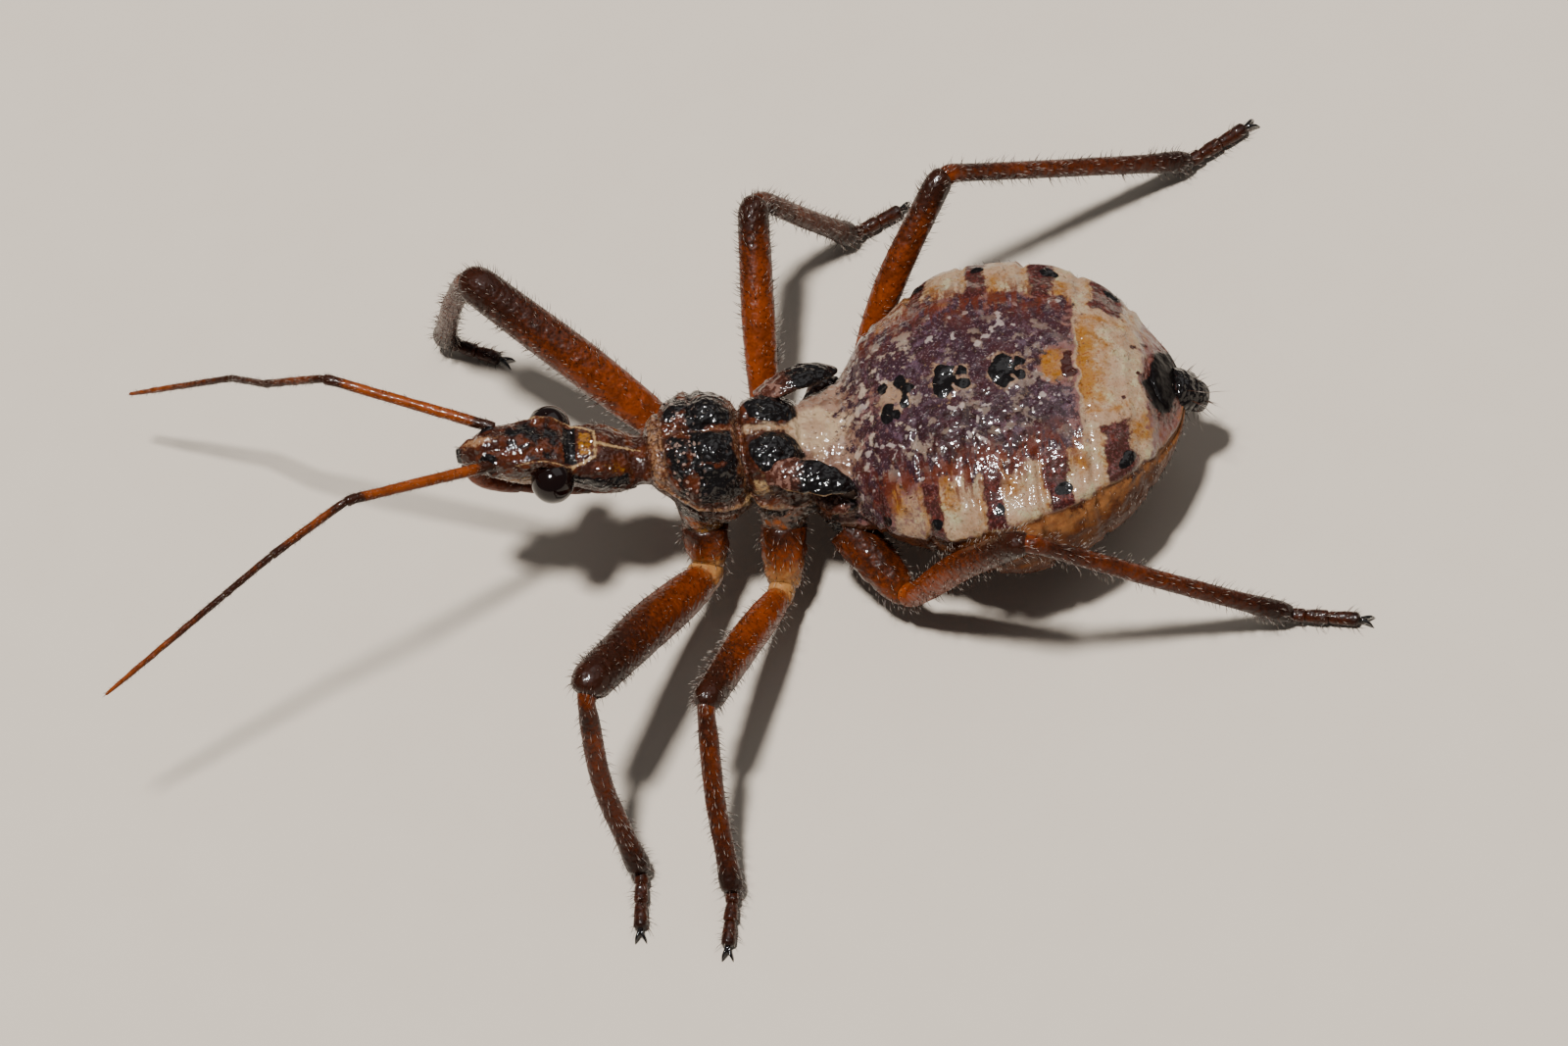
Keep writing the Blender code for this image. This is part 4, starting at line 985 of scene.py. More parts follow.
def abdomen_fields(x, y, share):
    """Markings of the abdomen; share is 0 on the middle of the back and 1 on the side margin."""
    points = np.stack([x, y, share], -1)
    x = x - RING_SKEW * y
    x = x + 0.045 * ripple(points, 0.45, 70) + 0.020 * ripple(points, 0.16, 71)
    reach = 1.12 * smooth(BODY["half_width"], x)
    share = share + (0.05 * ripple(points, 0.50, 72) + 0.02 * ripple(points, 0.15, 73)) / reach
    across = np.abs(y)
    bands, spots, clouds, stains = band_fields(x, share, reach)
    marks, pale, dots = gland_fields(x, y)
    plate = most(oval(x - 0.16 * y, y, (-7.43, 0.04), (0.24, 0.78)), (share - 1.1) * reach)
    plate_edge = -7.13 + 0.04 * np.sin(y * 5.0 + 0.5) - 0.12 * across ** 2

    wander = 0.30 * ripple(points, 0.55, 74) + 0.14 * ripple(points, 0.22, 75)
    front_edge = x + 1.44 - 0.12 * ripple(points, 0.40, 78)
    back = most((share - 0.54) * reach + wander, -5.84 - x, front_edge)
    shoulder = most(-2.16 - x, front_edge, (share - 1.0) * reach)
    purple = most(inside(back, 0.32), 0.80 * inside(shoulder, 0.15))
    purple = purple * (1 - 0.40 * inside(oval(x, y, (-1.90, 0.1), (0.45, 1.0)), 0.3))
    purple = purple * (1 - 0.9 * inside(oval(x, y, (-5.52, 0.0), (0.32, 0.42)), 0.15))
    crossbars = sum(bell(x - front + 0.12, 0.16) for front in RING_FRONTS[:4])
    # A darker oval over the near, left flank of the back: painted shade
    near_flank_shade = oval(x, y, (-4.0, 1.2), (1.9, 0.9))
    dark = most(0.40 * crossbars * inside((share - 0.62) * reach, 0.2),
                0.75 * bands * step(share, 0.66, 0.88) * (x > -5.9),
                0.52 * inside(near_flank_shade, 0.4) * (share < 0.75))

    cream = inside(most(slab(share, 0.56, 1.01) * reach, slab(x, -7.05, -2.1)), 0.25)
    cream = cream * (0.55 + 0.45 * step(-x, 2.7, 3.3))
    rear = most(slab(x, -7.08, -5.90), (share - 1.0) * reach)
    cream = most(cream, inside(rear, 0.08)) * step(x, plate_edge - 0.02, plate_edge + 0.02)
    drift = 0.08 * ripple(points, 0.60, 76) + 0.03 * ripple(points, 0.25, 77)
    stripe = most(-6.30 - x, across - 0.86) + drift
    streak = stroke(x, across, [(-6.05, 1.06), (-6.40, 1.02), (-6.86, 0.86)]) - 0.05 + 0.35 * drift
    rust = np.abs(share - 1.01) * reach - 0.05
    orange = most(0.72 * clouds, 0.95 * inside(oval(x, y, (-5.46, 0.0), (0.26, 0.40)), 0.12),
                  1.1 * inside(stripe, 0.42) * step(-x, 5.93, 5.97), 0.9 * inside(streak, 0.10),
                  0.62 * inside(rust, 0.12) * (x < -2.5)) * (x > plate_edge)

    brown = most(stains, 0.55 * clouds * inside(np.abs(share - 0.60) * reach, 0.35), dots,
                 0.62 * inside(plate - 0.09, 0.08) * (share < 1.05),
                 *[inside(oval(x, y, centre, (0.05, 0.05)), 0.03) for centre in REAR_DOTS])
    seam = stroke(x, share * reach, [(-5.90, 0.0), (-5.93, 1.3)]) - 0.02
    # All the skin below the side margin, which takes the belly's brown darkened as painted shade
    belly = inside((1.02 - share) * reach, 0.10)
    glow = most(slab(share, 1.02, 1.26) * reach, x + 4.2)
    front_granules = inside(most(slab(x, -2.9, -1.4), across - 1.3), 0.4)
    granules = inside(most(slab(x, -5.6, -2.6), across - 1.4), 0.3)
    streaks = inside(slab(share, 0.40, 0.70) * reach, 0.30) * inside(slab(x, -5.8, -1.8), 0.2)
    return {"purple": purple * (x > plate_edge), "dark": dark, "cream": cream, "orange": orange,
            "brown": brown, "band": bands, "streak": streaks, "belly": belly,
            "pale": most(pale, 0.8 * inside(seam, 0.04)), "glow": 0.9 * inside(glow, 0.35),
            "black": most(spots, marks, inside(plate, 0.05)),
            "granules": most(front_granules, 0.35 * granules),
            "matt": most(belly, inside(plate, 0.05))}


def head_relief(x, y, z, up):
    """The grooves, seams, face, brows and feeler mounds of the head."""
    side = np.abs(y)
    top = np.maximum(up, 0.0)
    points = np.stack([x, y, z], -1)
    groove = 0.08 * bell(x - 3.60, 0.10) + 0.05 * bell(y, 0.09) * bell(x - 2.85, 0.28)
    seam = stroke(x, side, [(2.45, 0.0), (3.12, 0.0), (3.14, 0.30), (3.62, 0.47)]) - 0.03
    face = 0.045 * bell(y, 0.13) * step(x, 4.5, 4.9)
    face -= 0.035 * bell(side - 0.21, 0.05) * step(x, 4.6, 4.9)
    brow = 0.07 * bell(x - 4.0, 0.42) * bell(side - 0.46, 0.09)
    tubercle = 0.10 * bell(np.hypot(x - 5.08, (side - 0.38) * 1.2), 0.14)
    crumple = 0.012 * ripple(points, 0.20, 1) + 0.005 * ripple(points, 0.09, 2)
    return ((face - groove) * top + (0.022 * inside(seam, 0.05) + brow + tubercle) * (up > 0)
            + crumple * step(x, 2.4, 2.8))


def thorax_relief(x, y, z, up):
    """The domes, furrows, waists, plates and keel of the thorax, and its swollen flank."""
    side = np.abs(y)
    points = np.stack([x, y, z], -1)
    domes = 0.13 * bell(np.hypot((x - 0.98) / 1.1, side - 0.50), 0.30)
    domes += 0.09 * bell(np.hypot(x - 1.60, side - 0.46), 0.23)
    furrows = 0.15 * bell(y, 0.11) * bell(x - 1.25, 0.60) + 0.11 * bell(x - 1.95, 0.05)
    furrows += 0.08 * bell(x - 1.30, 0.07) * step(side, 0.05, 0.2)
    keel = 0.05 * bell(y, 0.06) * bell(x + 0.1, 0.5)
    plates = 0.10 * inside(oval(x, side, (-0.13, 0.52), (0.46, 0.38)), 0.08) * (up > 0.1)
    plates += 0.06 * bell(np.hypot(x + 0.10, side - 0.50), 0.26) * (up > 0)
    waists = 0.12 * bell(x - 0.50, 0.06) + 0.06 * bell(x + 0.60, 0.05)
    above = z - smooth(FLANK_LINE, x)
    ridge = 0.05 * (bell(above, 0.06) - bell(above + 0.16, 0.06)) * (side > 0.6)
    lobes = sum(height * bell(x - lobe_x, 0.30) * bell(z - lobe_z, 0.34)
                for lobe_x, lobe_z, height in FLANK_LOBES) * (side > 0.4)
    sculpture = 0.020 * ripple(points, 0.28, 3) + 0.008 * ripple(points, 0.12, 4)
    return ((domes - furrows + keel) * np.maximum(up, 0.0) + plates - waists + ridge + lobes
            + sculpture * (1 - bell(x - 2.3, 0.12)))


def abdomen_relief(x, y, z, up, share):
    """The side margin, the folds between rings, glands, wrinkles and the tail plate's bulge."""
    ring_x = x - RING_SKEW * y
    points = np.stack([x, y, z], -1)
    flank = step(share, 0.25, 0.5)
    out = 0.07 * bell(share - 0.96, 0.13)
    for place in FOLDS_X:
        out -= bell(ring_x - place, 0.07) * (0.022 + 0.045 * step(share, 0.45, 0.95))
        out += 0.016 * bell(ring_x - place - 0.11, 0.06)
    for front, rear in zip(FOLDS_X, FOLDS_X[1:]):
        out += 0.05 * bell(ring_x - (front + rear) / 2, 0.40) * bell(share - 0.98, 0.10)
    for place in GLANDS_X[:3]:
        reach = np.hypot(x - place, y)
        out += (0.035 * bell(reach - 0.24, 0.08) - 0.03 * bell(reach, 0.12)) * (up > 0)
    for spot in SPOTS_X:
        width = smooth(BODY["half_width"], spot)
        out += 0.03 * bell(np.hypot(ring_x - spot, (share - 0.88) * width * 1.15), 0.12)
    out -= 0.03 * bell(share - 1.06, 0.04) * step(-x, 1.9, 2.6)
    out += 0.004 * ripple(points * (1.0, 0.22, 0.22), 0.20, 5) * (0.35 + flank)
    out += 0.014 * ripple(points, 0.50, 6) * (0.4 + flank)
    out += 0.006 * ripple(points * (0.2, 1.0, 1.0), 0.24, 7) * step(share, 1.05, 1.2)
    behind = -7.06 + 0.05 * np.sin(y * 5.0) - x
    out -= 0.10 * step(behind, 0.0, 0.10) * (share < 1.2)
    bulge = np.hypot((x + 7.44) / 0.24, y / 0.72)
    out += 0.16 * np.sqrt(np.maximum(1 - bulge ** 2, 0)) * (share < 1.15)
    return out


def skin_relief(x, y, z, up, share):
    """How far the skin stands out of, or sinks into, the plain cross-sections."""
    head = step(x, 2.3, 2.5)
    thorax = step(x, -1.7, -1.5) * (1 - head)
    abdomen = 1 - step(x, -1.75, -1.60)
    return (head * head_relief(x, y, z, up) + thorax * thorax_relief(x, y, z, up)
            + abdomen * abdomen_relief(x, y, z, up, share))


def raise_sockets(points):
    """Draw the skin out into the mounds that carry the legs."""
    for row, sizes in LEGS.items():
        for side in SIDES:
            socket = np.array(mirrored(sizes["socket"], side))
            axis = unit(np.array(LEG_POSES[row][side]["hip"]) - socket)
            base = socket - axis * sizes["stub"]
            offset = points - base
            height = offset @ axis
            reach = np.linalg.norm(offset - height[..., None] * axis, axis=-1)
            wanted = (sizes["stub"] + 0.06) * (1 - step(reach, 0.30, 0.56))
            wanted -= 0.12 * (1 - step(reach, 0.10, 0.24))
            near = (reach < 0.6) & (height > -0.35)
            lift = np.where(near, np.maximum(wanted - height, 0) * (1 - step(reach, 0.46, 0.60)), 0)
            lift = np.where(height > 0.0, lift, lift * step(height, -0.35, 0.0))
            points = points + lift[..., None] * axis
    return points


def membrane_fields(x, y, z, up):
    """The soft skin between the plates and the abdomen's back, and its cream middle."""
    points = np.stack([x, y, z], -1)
    x = x + 0.05 * ripple(points, 0.35, 82)
    across = np.abs(y) + 0.05 * ripple(points, 0.40, 83)
    membrane = inside(slab(x, -1.72, -0.50), 0.10) * inside(2.40 - z, 0.12)
    width = smooth([(-1.75, 0.10), (-1.3, 0.30), (-0.95, 0.55), (-0.6, 0.42), (-0.35, 0.10),
                    (0.4, 0.05)], x)
    soft = 0.85 * inside(most(across - width, -1.66 - x), 0.14) * (x < 0.40) * (up > 0.1)
    return {"membrane": membrane, "soft": soft}


def body_shell(sizes):
    """The skin of head, thorax and abdomen as one closed shell."""
    count = sizes.body_sides
    spacing = sizes.ring_step / MM
    rear = np.linspace(TAIL_END_X, -7.20, 34)
    rest = np.linspace(-7.20, FACE_X, int((FACE_X + 7.20) / spacing))[1:]
    stations = np.concatenate([rear, rest])
    angle = 2 * math.pi * np.arange(count)[None, :] / count
    x = np.broadcast_to(stations[:, None], (len(stations), count))
    power = 2 / smooth(BODY["fullness"], stations)[:, None]
    across = np.sign(np.cos(angle)) * np.abs(np.cos(angle)) ** power
    up = np.sign(np.sin(angle)) * np.abs(np.sin(angle)) ** power
    half_width = smooth(BODY["half_width"], stations)[:, None]
    widest = smooth(BODY["widest"], stations)[:, None]
    rise = smooth(BODY["top"], stations)[:, None] - widest
    fall = widest - smooth(BODY["bottom"], stations)[:, None]
    y = half_width * across
    z = widest + up * np.where(up > 0, rise, fall)
    from_top = np.degrees(np.arccos(np.clip(np.sin(angle), -1, 1)))
    share = from_top / smooth(MARGIN_TURN, stations)[:, None]

    seat = 0.47 + 0.12 * step(up, 0.30, 0.75)
    hollow = np.minimum(1.0, 1.9 * bell(x - EYE_CENTRE[0], 0.46) ** 2)
    inward = np.where(np.abs(y) > seat, -np.sign(y) * (np.abs(y) - seat) * hollow, 0.0)
    y = y + inward * (x > NECK_X)
    out = skin_relief(x, y, z, up, share)
    size = np.hypot(across, up)
    y = y + out * across / size
    z = z + out * up / size
    lid = bell(x - EYE_CENTRE[0], 0.36) * bell(np.abs(y) - 0.53, 0.10) * step(up, 0.15, 0.40)
    z = z + 0.17 * lid
    points = raise_sockets(np.stack([x, y, z], -1))

    head = x > 2.30
    thorax = (x <= 2.30) & (x > MEMBRANE_X)
    parts = [(head, head_fields(x, y, z, up)), (thorax, thorax_fields(x, y, z, up)),
             (x <= MEMBRANE_X, abdomen_fields(x, y, share))]
    names = {name for _, fields in parts for name in fields}
    fields = {name: sum(np.where(where, values.get(name, 0.0), 0.0) for where, values in parts)
              for name in sorted(names)}
    fields.update(membrane_fields(x, y, z, up))
    fields["wrinkle"] = np.where(x < -1.5, 0.25 + step(share, 0.25, 0.5), 0.2)
    hairs = 0.25 + 0.75 * step(share, 1.0, 1.2)
    hairs = np.where(x > -1.6, 0.8, hairs)
    hairs = hairs * np.where(x < -6.4, 2.0, 1.0) * np.where((x < -6.9) & (share < 1.05), 0.1, 1.0)
    fields["hairs"] = np.where(x > 5.45, 3.0, hairs)
    return grid_shell(on_head(points), fields), stations


def leg_corners(row, side):
    """The socket, hip, knee, ankle and toe of one leg."""
    sizes = LEGS[row]
    pose = LEG_POSES[row][side]
    socket = mirrored(sizes["socket"], side)
    hip = Vector(pose["hip"])
    knee = hip + heading(pose["femur_turn"], pose["femur_lift"]) * sizes["femur"]
    drop = knee.z - ANKLE_Z
    ankle = knee + heading(pose["tibia_turn"], 0) * math.sqrt(sizes["tibia"] ** 2 - drop ** 2)
    ankle.z = ANKLE_Z
    toe = ankle + heading(pose["tarsus_turn"], 0) * sizes["tarsus"]
    toe.z = TOE_Z
    return [socket, hip, knee, ankle, toe]


def roughened(rings, path, amount, size, seed):
    """Rings round a path, with bumps of a size and a height in millimetres."""
    outward = unit(rings - path[:, None, :])
    return rings + outward * (amount * ripple(rings, size, seed))[..., None]


def limb_part(path, side, half_width, half_depth, sides, rounding, fields, reach, seed, rough=0.007):
    """One segment of a leg, with its pebbled surface and its markings."""
    rings = roughened(tube_rings(path, side, half_width, half_depth, sides, rounding), path, rough,
                      0.22, seed)
    share = path_lengths(path) / path_lengths(path)[-1]
    spread = {name: smooth(stations, share)[:, None] for name, stations in fields.items()}
    if "dark" in spread:
        edge = np.abs(np.sin(2 * math.pi * np.arange(sides) / sides))[None, :] ** 3
        spread["dark"] = spread["dark"] + 0.16 * edge * (spread["dark"] < 0.8)
    return grid_shell(rings, spread, reach)


def leg_shell(row, side, sides):
    """Coxa, trochanter, femur, tibia and tarsus of one leg, each sunk into the one before."""
    sizes = LEGS[row]
    pose = LEG_POSES[row][side]
    socket, hip, knee, ankle, toe = leg_corners(row, side)
    femur_bow = heading(pose["femur_turn"], pose["femur_lift"] + 90) * pose["femur_bow"]
    tibia_bow = Vector((pose["tibia_bow"], 0, 0))
    corners = [socket, hip, (hip + knee) / 2 + femur_bow, knee, (knee + ankle) / 2 + tibia_bow,
               ankle, toe]
    path, bends = rounded_path(corners, [HIP_BEND, BOW_BEND, KNEE_BEND, BOW_BEND, ANKLE_BEND])
    hip_at, knee_at, ankle_at = bends[::2]
    plane = (knee - hip).cross(ankle - knee).normalized()
    level = (toe - ankle).cross(Vector((0, 0, 1))).normalized()
    tibia = sizes["tibia_radius"]
    hip_size = 0.39 * (sizes["femur_depth"] + sizes["femur_width"])
    inward = unit(path[:1] - path[4:5])
    coxa = np.concatenate([path[:1] + inward * 0.20, path[:1] + inward * 0.10,
                           cut_path(path, 0.0, hip_at, 26)])
    pale = sizes["hip_pale"]
    dark = sizes["hip_dark"]
    # The right legs' femora, on the far side, are drawn less dark than the left ones: painted light on
    # the far side, painted shade on the near side
    tone = sizes["tone"] - (0.07 if side == "right" else 0.0)
    return joined([
        limb_part(coxa, plane, COXA_SIZE, COXA_SIZE, sides, (0.05, 0.12),
                  {"cream": [(0.0, 0.10), (0.5, pale * 0.4), (1.0, pale)],
                   "dark": [(0.0, 0.75), (0.25, 0.58), (0.5, dark), (1.0, dark - 0.2)],
                   "hairs": [(0.0, 0.5), (1.0, 0.7)]}, (0.0, 0.08), 20, 0.020),
        limb_part(cut_path(path, hip_at - 0.20, hip_at + 0.42, 24), plane,
                  scaled(TROCHANTER_WIDTH, hip_size), scaled(TROCHANTER_DEPTH, hip_size),
                  sides, (0.12, 0.12),
                  {"cream": [(0.0, pale), (0.6, pale * 0.8), (1.0, 0.2)],
                   "hairs": [(0.0, 0.6), (1.0, 0.6)]}, (0.09, 0.13), 21),
        limb_part(cut_path(path, hip_at + 0.20, knee_at + 0.10, 150), plane,
                  scaled(FEMUR_WIDTH, sizes["femur_width"]),
                  scaled(FEMUR_DEPTH, sizes["femur_depth"]), sides, (0.10, 0.16),
                  {"cream": [(0.0, pale * 0.8), (0.05, pale * 0.5), (0.14, 0.1), (0.22, 0.0),
                             (1.0, 0.0)],
                   "dark": [(0.0, 0.05), (0.12, 0.10 + tone), (0.40, 0.26 + tone),
                            (0.62, 0.44 + tone), (0.82, 0.62 + tone), (0.93, 0.95), (1.0, 1.0)],
                   "hairs": [(0.0, 0.5), (0.3, 0.8), (0.8, 1.3), (1.0, 1.8)]},
                  (0.14, 0.52), 22, 0.004),
        limb_part(cut_path(path, knee_at - 0.10, ankle_at + 0.05, 150), plane,
                  [(0.0, 0.15), (0.03, 0.18), (0.08, 0.165), (0.2, tibia), (0.80, tibia),
                   (0.94, tibia + 0.03), (1.0, tibia - 0.02)],
                  [(0.0, 0.16), (0.03, 0.20), (0.08, 0.175), (0.2, tibia), (0.80, tibia + 0.01),
                   (0.94, tibia + 0.05), (1.0, tibia - 0.02)],
                  sides, (0.08, 0.10),
                  {"shin": [(0.0, 0.4), (0.08, 0.6), (0.3, 0.6), (1.0, 0.9)],
                   "dark": [(0.0, 0.35), (0.05, 0.30), (0.10, 0.50), (0.16, 0.56), (0.24, 0.34),
                            (0.55, 0.34), (0.82, 0.48), (0.92, 0.78), (1.0, 0.90)],
                   "hairs": [(0.0, 1.2), (0.3, 1.2), (1.0, 1.4)]}, (0.53, 0.86), 23, 0.003),
        *tarsus_parts(cut_path(path, ankle_at - 0.06, path_lengths(path)[-1], 60), level, sides),
    ])


def tarsus_parts(path, level, sides):
    """The three short segments of a foot."""
    total = path_lengths(path)[-1]
    parts = []
    for k, (start, end, tip) in enumerate(((0.0, 0.26, 0.45), (0.22, 0.58, 0.45),
                                           (0.54, 1.0, 0.95))):
        piece = cut_path(path, start * total, end * total, 26)
        parts.append(limb_part(piece, level, TARSUS_SIZE, TARSUS_SIZE, sides, (0.05, 0.09),
                               {"dark": [(0.0, 0.5), (0.6, 0.52), (1.0, tip)],
                                "shin": [(0.0, 0.9), (1.0, 0.9)],
                                "hairs": [(0.0, 1.5), (1.0, 1.5)]},
                               (0.87 + 0.04 * k, 0.905 + 0.04 * k), 24 + k, 0.005))
    return parts


def claw_shell(row, side):
    """The pair of curved claws on one foot."""
    ankle, toe = leg_corners(row, side)[3:]
    ahead = toe - ankle
    ahead.z = 0
    ahead.normalize()
    pair = []
    for spread in (-24.0, 24.0):
        out = Matrix.Rotation(math.radians(spread), 3, "Z") @ ahead
        points = [toe - ahead * 0.12, toe + out * 0.06 + Vector((0, 0, 0.02)),
                  toe + out * 0.18 + Vector((0, 0, -0.01)), toe + out * 0.26 + Vector((0, 0, -0.10))]
        rings = tube_rings(curved_path(points, 0.02), (0, 0, 1), CLAW_SIZE, CLAW_SIZE, 10)
        pair.append(grid_shell(rings, {"brown": 0.0}))
    return joined(pair)


def feeler_shell(side, radius, sides):
    """The four segments of one feeler, each sunk into the one before."""
    poses = ANTENNA_POSES[side]
    corners = [Vector(on_head(mirrored(ANTENNA_BASE, side)))]
    for name, segment in FEELER.items():
        corners.append(corners[-1] + heading(*poses[name]) * segment["length"])
    path, middles = rounded_path(corners, [ANTENNA_BEND] * 3)
    root = corners[0] - heading(*poses["scape"]) * 0.35
    path = np.concatenate([[np.array(root)], path])
    total = path_lengths(path)[-1]
    bounds = [0.0] + [middle + 0.35 for middle in middles] + [total]
    parts = []
    for k, segment in enumerate(FEELER.values()):
        start = max(bounds[k] - 0.04, 0.0)
        end = min(bounds[k + 1] + 0.03, total)
        piece = cut_path(path, start, end, int((end - start) / 0.03))
        profile = scaled(segment["profile"], radius)
        if k == 0:
            profile.insert(0, (0.0, FEELER_ROOT))
        fields = {"dark": segment["dark"], "cream": segment["cream"],
                  "hairs": [(0.0, 1.0), (1.0, 1.0)]}
        parts.append(limb_part(piece, (0, 0, 1), profile, profile, sides, (0.03, 0.05), fields,
                               (k * 0.25, k * 0.25 + 0.24), 30 + k, 0.004))
    return joined(parts)


def eye_shell(side):
    """A bulging eye, its back sunk into the head, with the pale rim behind it."""
    sign = SIDES[side]
    turn = np.linspace(math.pi * 0.80, 0.02, EYE_RINGS)[:, None]
    angle = 2 * math.pi * np.arange(EYE_SIDES)[None, :] / EYE_SIDES
    long, wide, high = (EYE_RADIUS * share for share in EYE_SHAPE)
    x = EYE_CENTRE[0] + long * np.sin(turn) * np.cos(angle)
    y = sign * (EYE_CENTRE[1] + wide * np.cos(turn))
    z = EYE_CENTRE[2] + high * np.sin(turn) * np.sin(angle) * sign
    rings = on_head(np.stack(np.broadcast_arrays(x, y, z), -1))
    return grid_shell(rings, {"rim": step(turn, 1.92, 2.00)})


def pad_shell(name, side, sides):
    """One wing pad: a thick-edged leaf that lies back over the abdomen's root."""
    shape = PADS[name]
    path = curved_path([mirrored(point, side) for point in shape["path"]], 0.02)
    tilt = (0.0, 1.0, -0.35 * SIDES[side])
    rings = tube_rings(path, tilt, shape["half_width"], shape["half_depth"], sides, (0.0, 0.04))
    share = np.linspace(0, 1, len(path))[:, None]
    fade = np.sin(math.pi * np.clip(share, 0.05, 0.95))
    rings = roughened(rings, path, 0.022 * fade, 0.20, 40)
    angle = 2 * math.pi * np.arange(sides)[None, :] / sides
    outer = np.sin(angle / 2) if side == "left" else np.cos(angle / 2)
    margin = 0.75 * bell(outer, 0.16) * step(share, 0.10, 0.25) * (1 - step(share, 0.84, 0.94))
    return grid_shell(rings, {"brown": smooth(shape["brown"], share[:, 0])[:, None],
                              "cream": margin, "hairs": 0.6})


def tail_shell(sides):
    """The black end of the abdomen, two short tubes that slide one out of the other."""
    along = heading(180, -TAIL_SLOPE)
    start = Vector(TAIL_START)
    parts = []
    for k, (near, far, sizes) in enumerate((
            (-0.10, 0.42, [(0.0, 0.40), (0.45, 0.44), (0.85, 0.43), (1.0, 0.36)]),
            (0.30, 0.77, [(0.0, 0.30), (0.4, 0.33), (0.85, 0.28), (1.0, 0.20)]))):
        path = np.array([start + along * (near + (far - near) * j / 30) for j in range(31)])
        flat = [(at, size * 0.86) for at, size in sizes]
        parts.append(limb_part(path, (0, 1, 0), sizes, flat, sides, (0.0, 0.07),
                               {"brown": [(0.0, 0.2), (0.3, 0.0), (1.0, 0.1)],
                                "hairs": [(0.0, 0.2), (0.6, 1.0), (1.0, 2.0)]},
                               (k * 0.5, k * 0.5 + 0.48), 50 + k, 0.010))
    return joined(parts)


def beak_shell(sides):
    """The curved three-part beak folded under the head."""
    path = curved_path(on_head(BEAK_PATH), 0.03)
    total = path_lengths(path)[-1]
    bounds = (0.0, 0.38, 0.76, 1.0)
    widths = ([(0.0, 0.19), (0.4, 0.21), (1.0, 0.17)], [(0.0, 0.15), (0.3, 0.17), (1.0, 0.13)],
              [(0.0, 0.11), (0.3, 0.12), (1.0, 0.03)])
    parts = []
    for k, (start, end) in enumerate(zip(bounds, bounds[1:])):
        piece = cut_path(path, max(start - 0.02, 0) * total, end * total, 44)
        parts.append(limb_part(piece, (0, 1, 0), widths[k], widths[k], sides, (0.03, 0.06),
                               {"dark": [(0.0, 0.5 if k else 0.7), (0.3, 0.25), (1.0, 0.6 + 0.15 * k)],
                                "hairs": [(0.0, 0.5), (1.0, 0.5)]}, (k * 0.33, k * 0.33 + 0.32),
                               60 + k, 0.006))
    return joined(parts)


def read_all(items, key, width=1):
    """One value, or a few, of every item of a mesh."""
    values = np.empty(len(items) * width, np.float32)
    items.foreach_get(key, values)
    return values.astype(float).reshape(-1, width) if width > 1 else values.astype(float)


def bristle_shell(skin, count, size, radius, lean, seed):
    """Bristles on a skin: each a bent, tapered spike of three sides, sunk at its root."""
    data = skin.data
    total = len(data.vertices)
    points = read_all(data.vertices, "co", 3) / MM + ORIGIN
    normals = read_all(data.vertex_normals, "vector", 3)
    place = read_all(data.attributes["place"].data, "vector", 2)
    area = np.zeros(total)
    for polygon in data.polygons:
        for corner in polygon.vertices:
            area[corner] += polygon.area
    weight = read_all(data.attributes["hairs"].data, "value") * area
    draw = np.random.default_rng(SEED + seed)
    chosen = draw.choice(total, size=count, replace=False, p=weight / weight.sum())
    root = points[chosen]
    normal = normals[chosen]
    place = place[chosen]
    lie = read_all(data.attributes["lie"].data, "vector", 3)[chosen]
    lie = unit(lie - normal * (lie * normal).sum(1, keepdims=True))
    wander = draw.normal(size=(count, 3)) * BRISTLE_WANDER
    way = unit(normal * (1 - lean) + lie * lean + wander)
    long = size * draw.uniform(*BRISTLE_RANGE, size=(count, 1))
    across = unit(np.cross(way, lie))
    other = np.cross(way, across)
    bend = lie * long * BRISTLE_BEND
    rows = []
    for share, width in BRISTLE_RINGS:
        centre = root + way * long * share + bend * share ** 2
        centre -= normal * BRISTLE_SINK * (share == 0)
        for k in range(3):
            angle = 2 * math.pi * k / 3
            spoke = across * math.cos(angle) + other * math.sin(angle)
            rows.append(centre + spoke * radius * width)
    rows.append(root + way * long + bend)
    spikes = np.stack(rows, 1)
    spikes[..., 2] = np.maximum(spikes[..., 2], FLOOR_CLEARANCE)
    pattern = [(2, 1, 0)]
    for ring in (0, 3):
        for k in range(3):
            after = (k + 1) % 3
            pattern.append((ring + k, ring + after, ring + 3 + after, ring + 3 + k))
    pattern += [(6 + k, 6 + (k + 1) % 3, 9) for k in range(3)]
    faces = [tuple(10 * k + corner for corner in face) for k in range(count) for face in pattern]
    patch = np.array([BRISTLE_MAP[corner] for face in pattern for corner in face])
    maps = (place[:, None, :] + patch[None]).reshape(-1, 2)
    tip = np.tile([share for share, _ in BRISTLE_RINGS for _ in range(3)] + [1.0], count)
    return Shell(spikes.reshape(-1, 3), faces, maps, np.repeat(place, 10, axis=0),
                 np.repeat(lie, 10, axis=0), {"tip": tip})


def found(name):
    """A piece that another operator has made."""
    piece = bpy.data.objects.get(name)
    if piece is None:
        raise RuntimeError(f"{name} is not there yet: build it first")
    return piece


class NYMPH_OT_body(bpy.types.Operator):
    """Build the one skin of head, thorax and abdomen"""

    bl_idname = "nymph.body"
    bl_label = "Body skin"

    def execute(self, context):
        sizes = context.scene.nymph_sizes
        shell, stations = body_shell(sizes)
        middles = (stations[:-1] + stations[1:]) / 2
        rows = np.repeat((middles < MEMBRANE_X).astype(int), sizes.body_sides)
        faces_of = np.concatenate([rows, np.ones(sizes.body_sides), np.zeros(sizes.body_sides)])
        add_piece(context, "body_skin", shell,
                  ["sclerotin_tanned_waxed", "cuticle_stretched_waxed"],
                  ["head", "prothorax", "mesothorax", "metathorax", "abdomen"], faces_of)
        return {"FINISHED"}


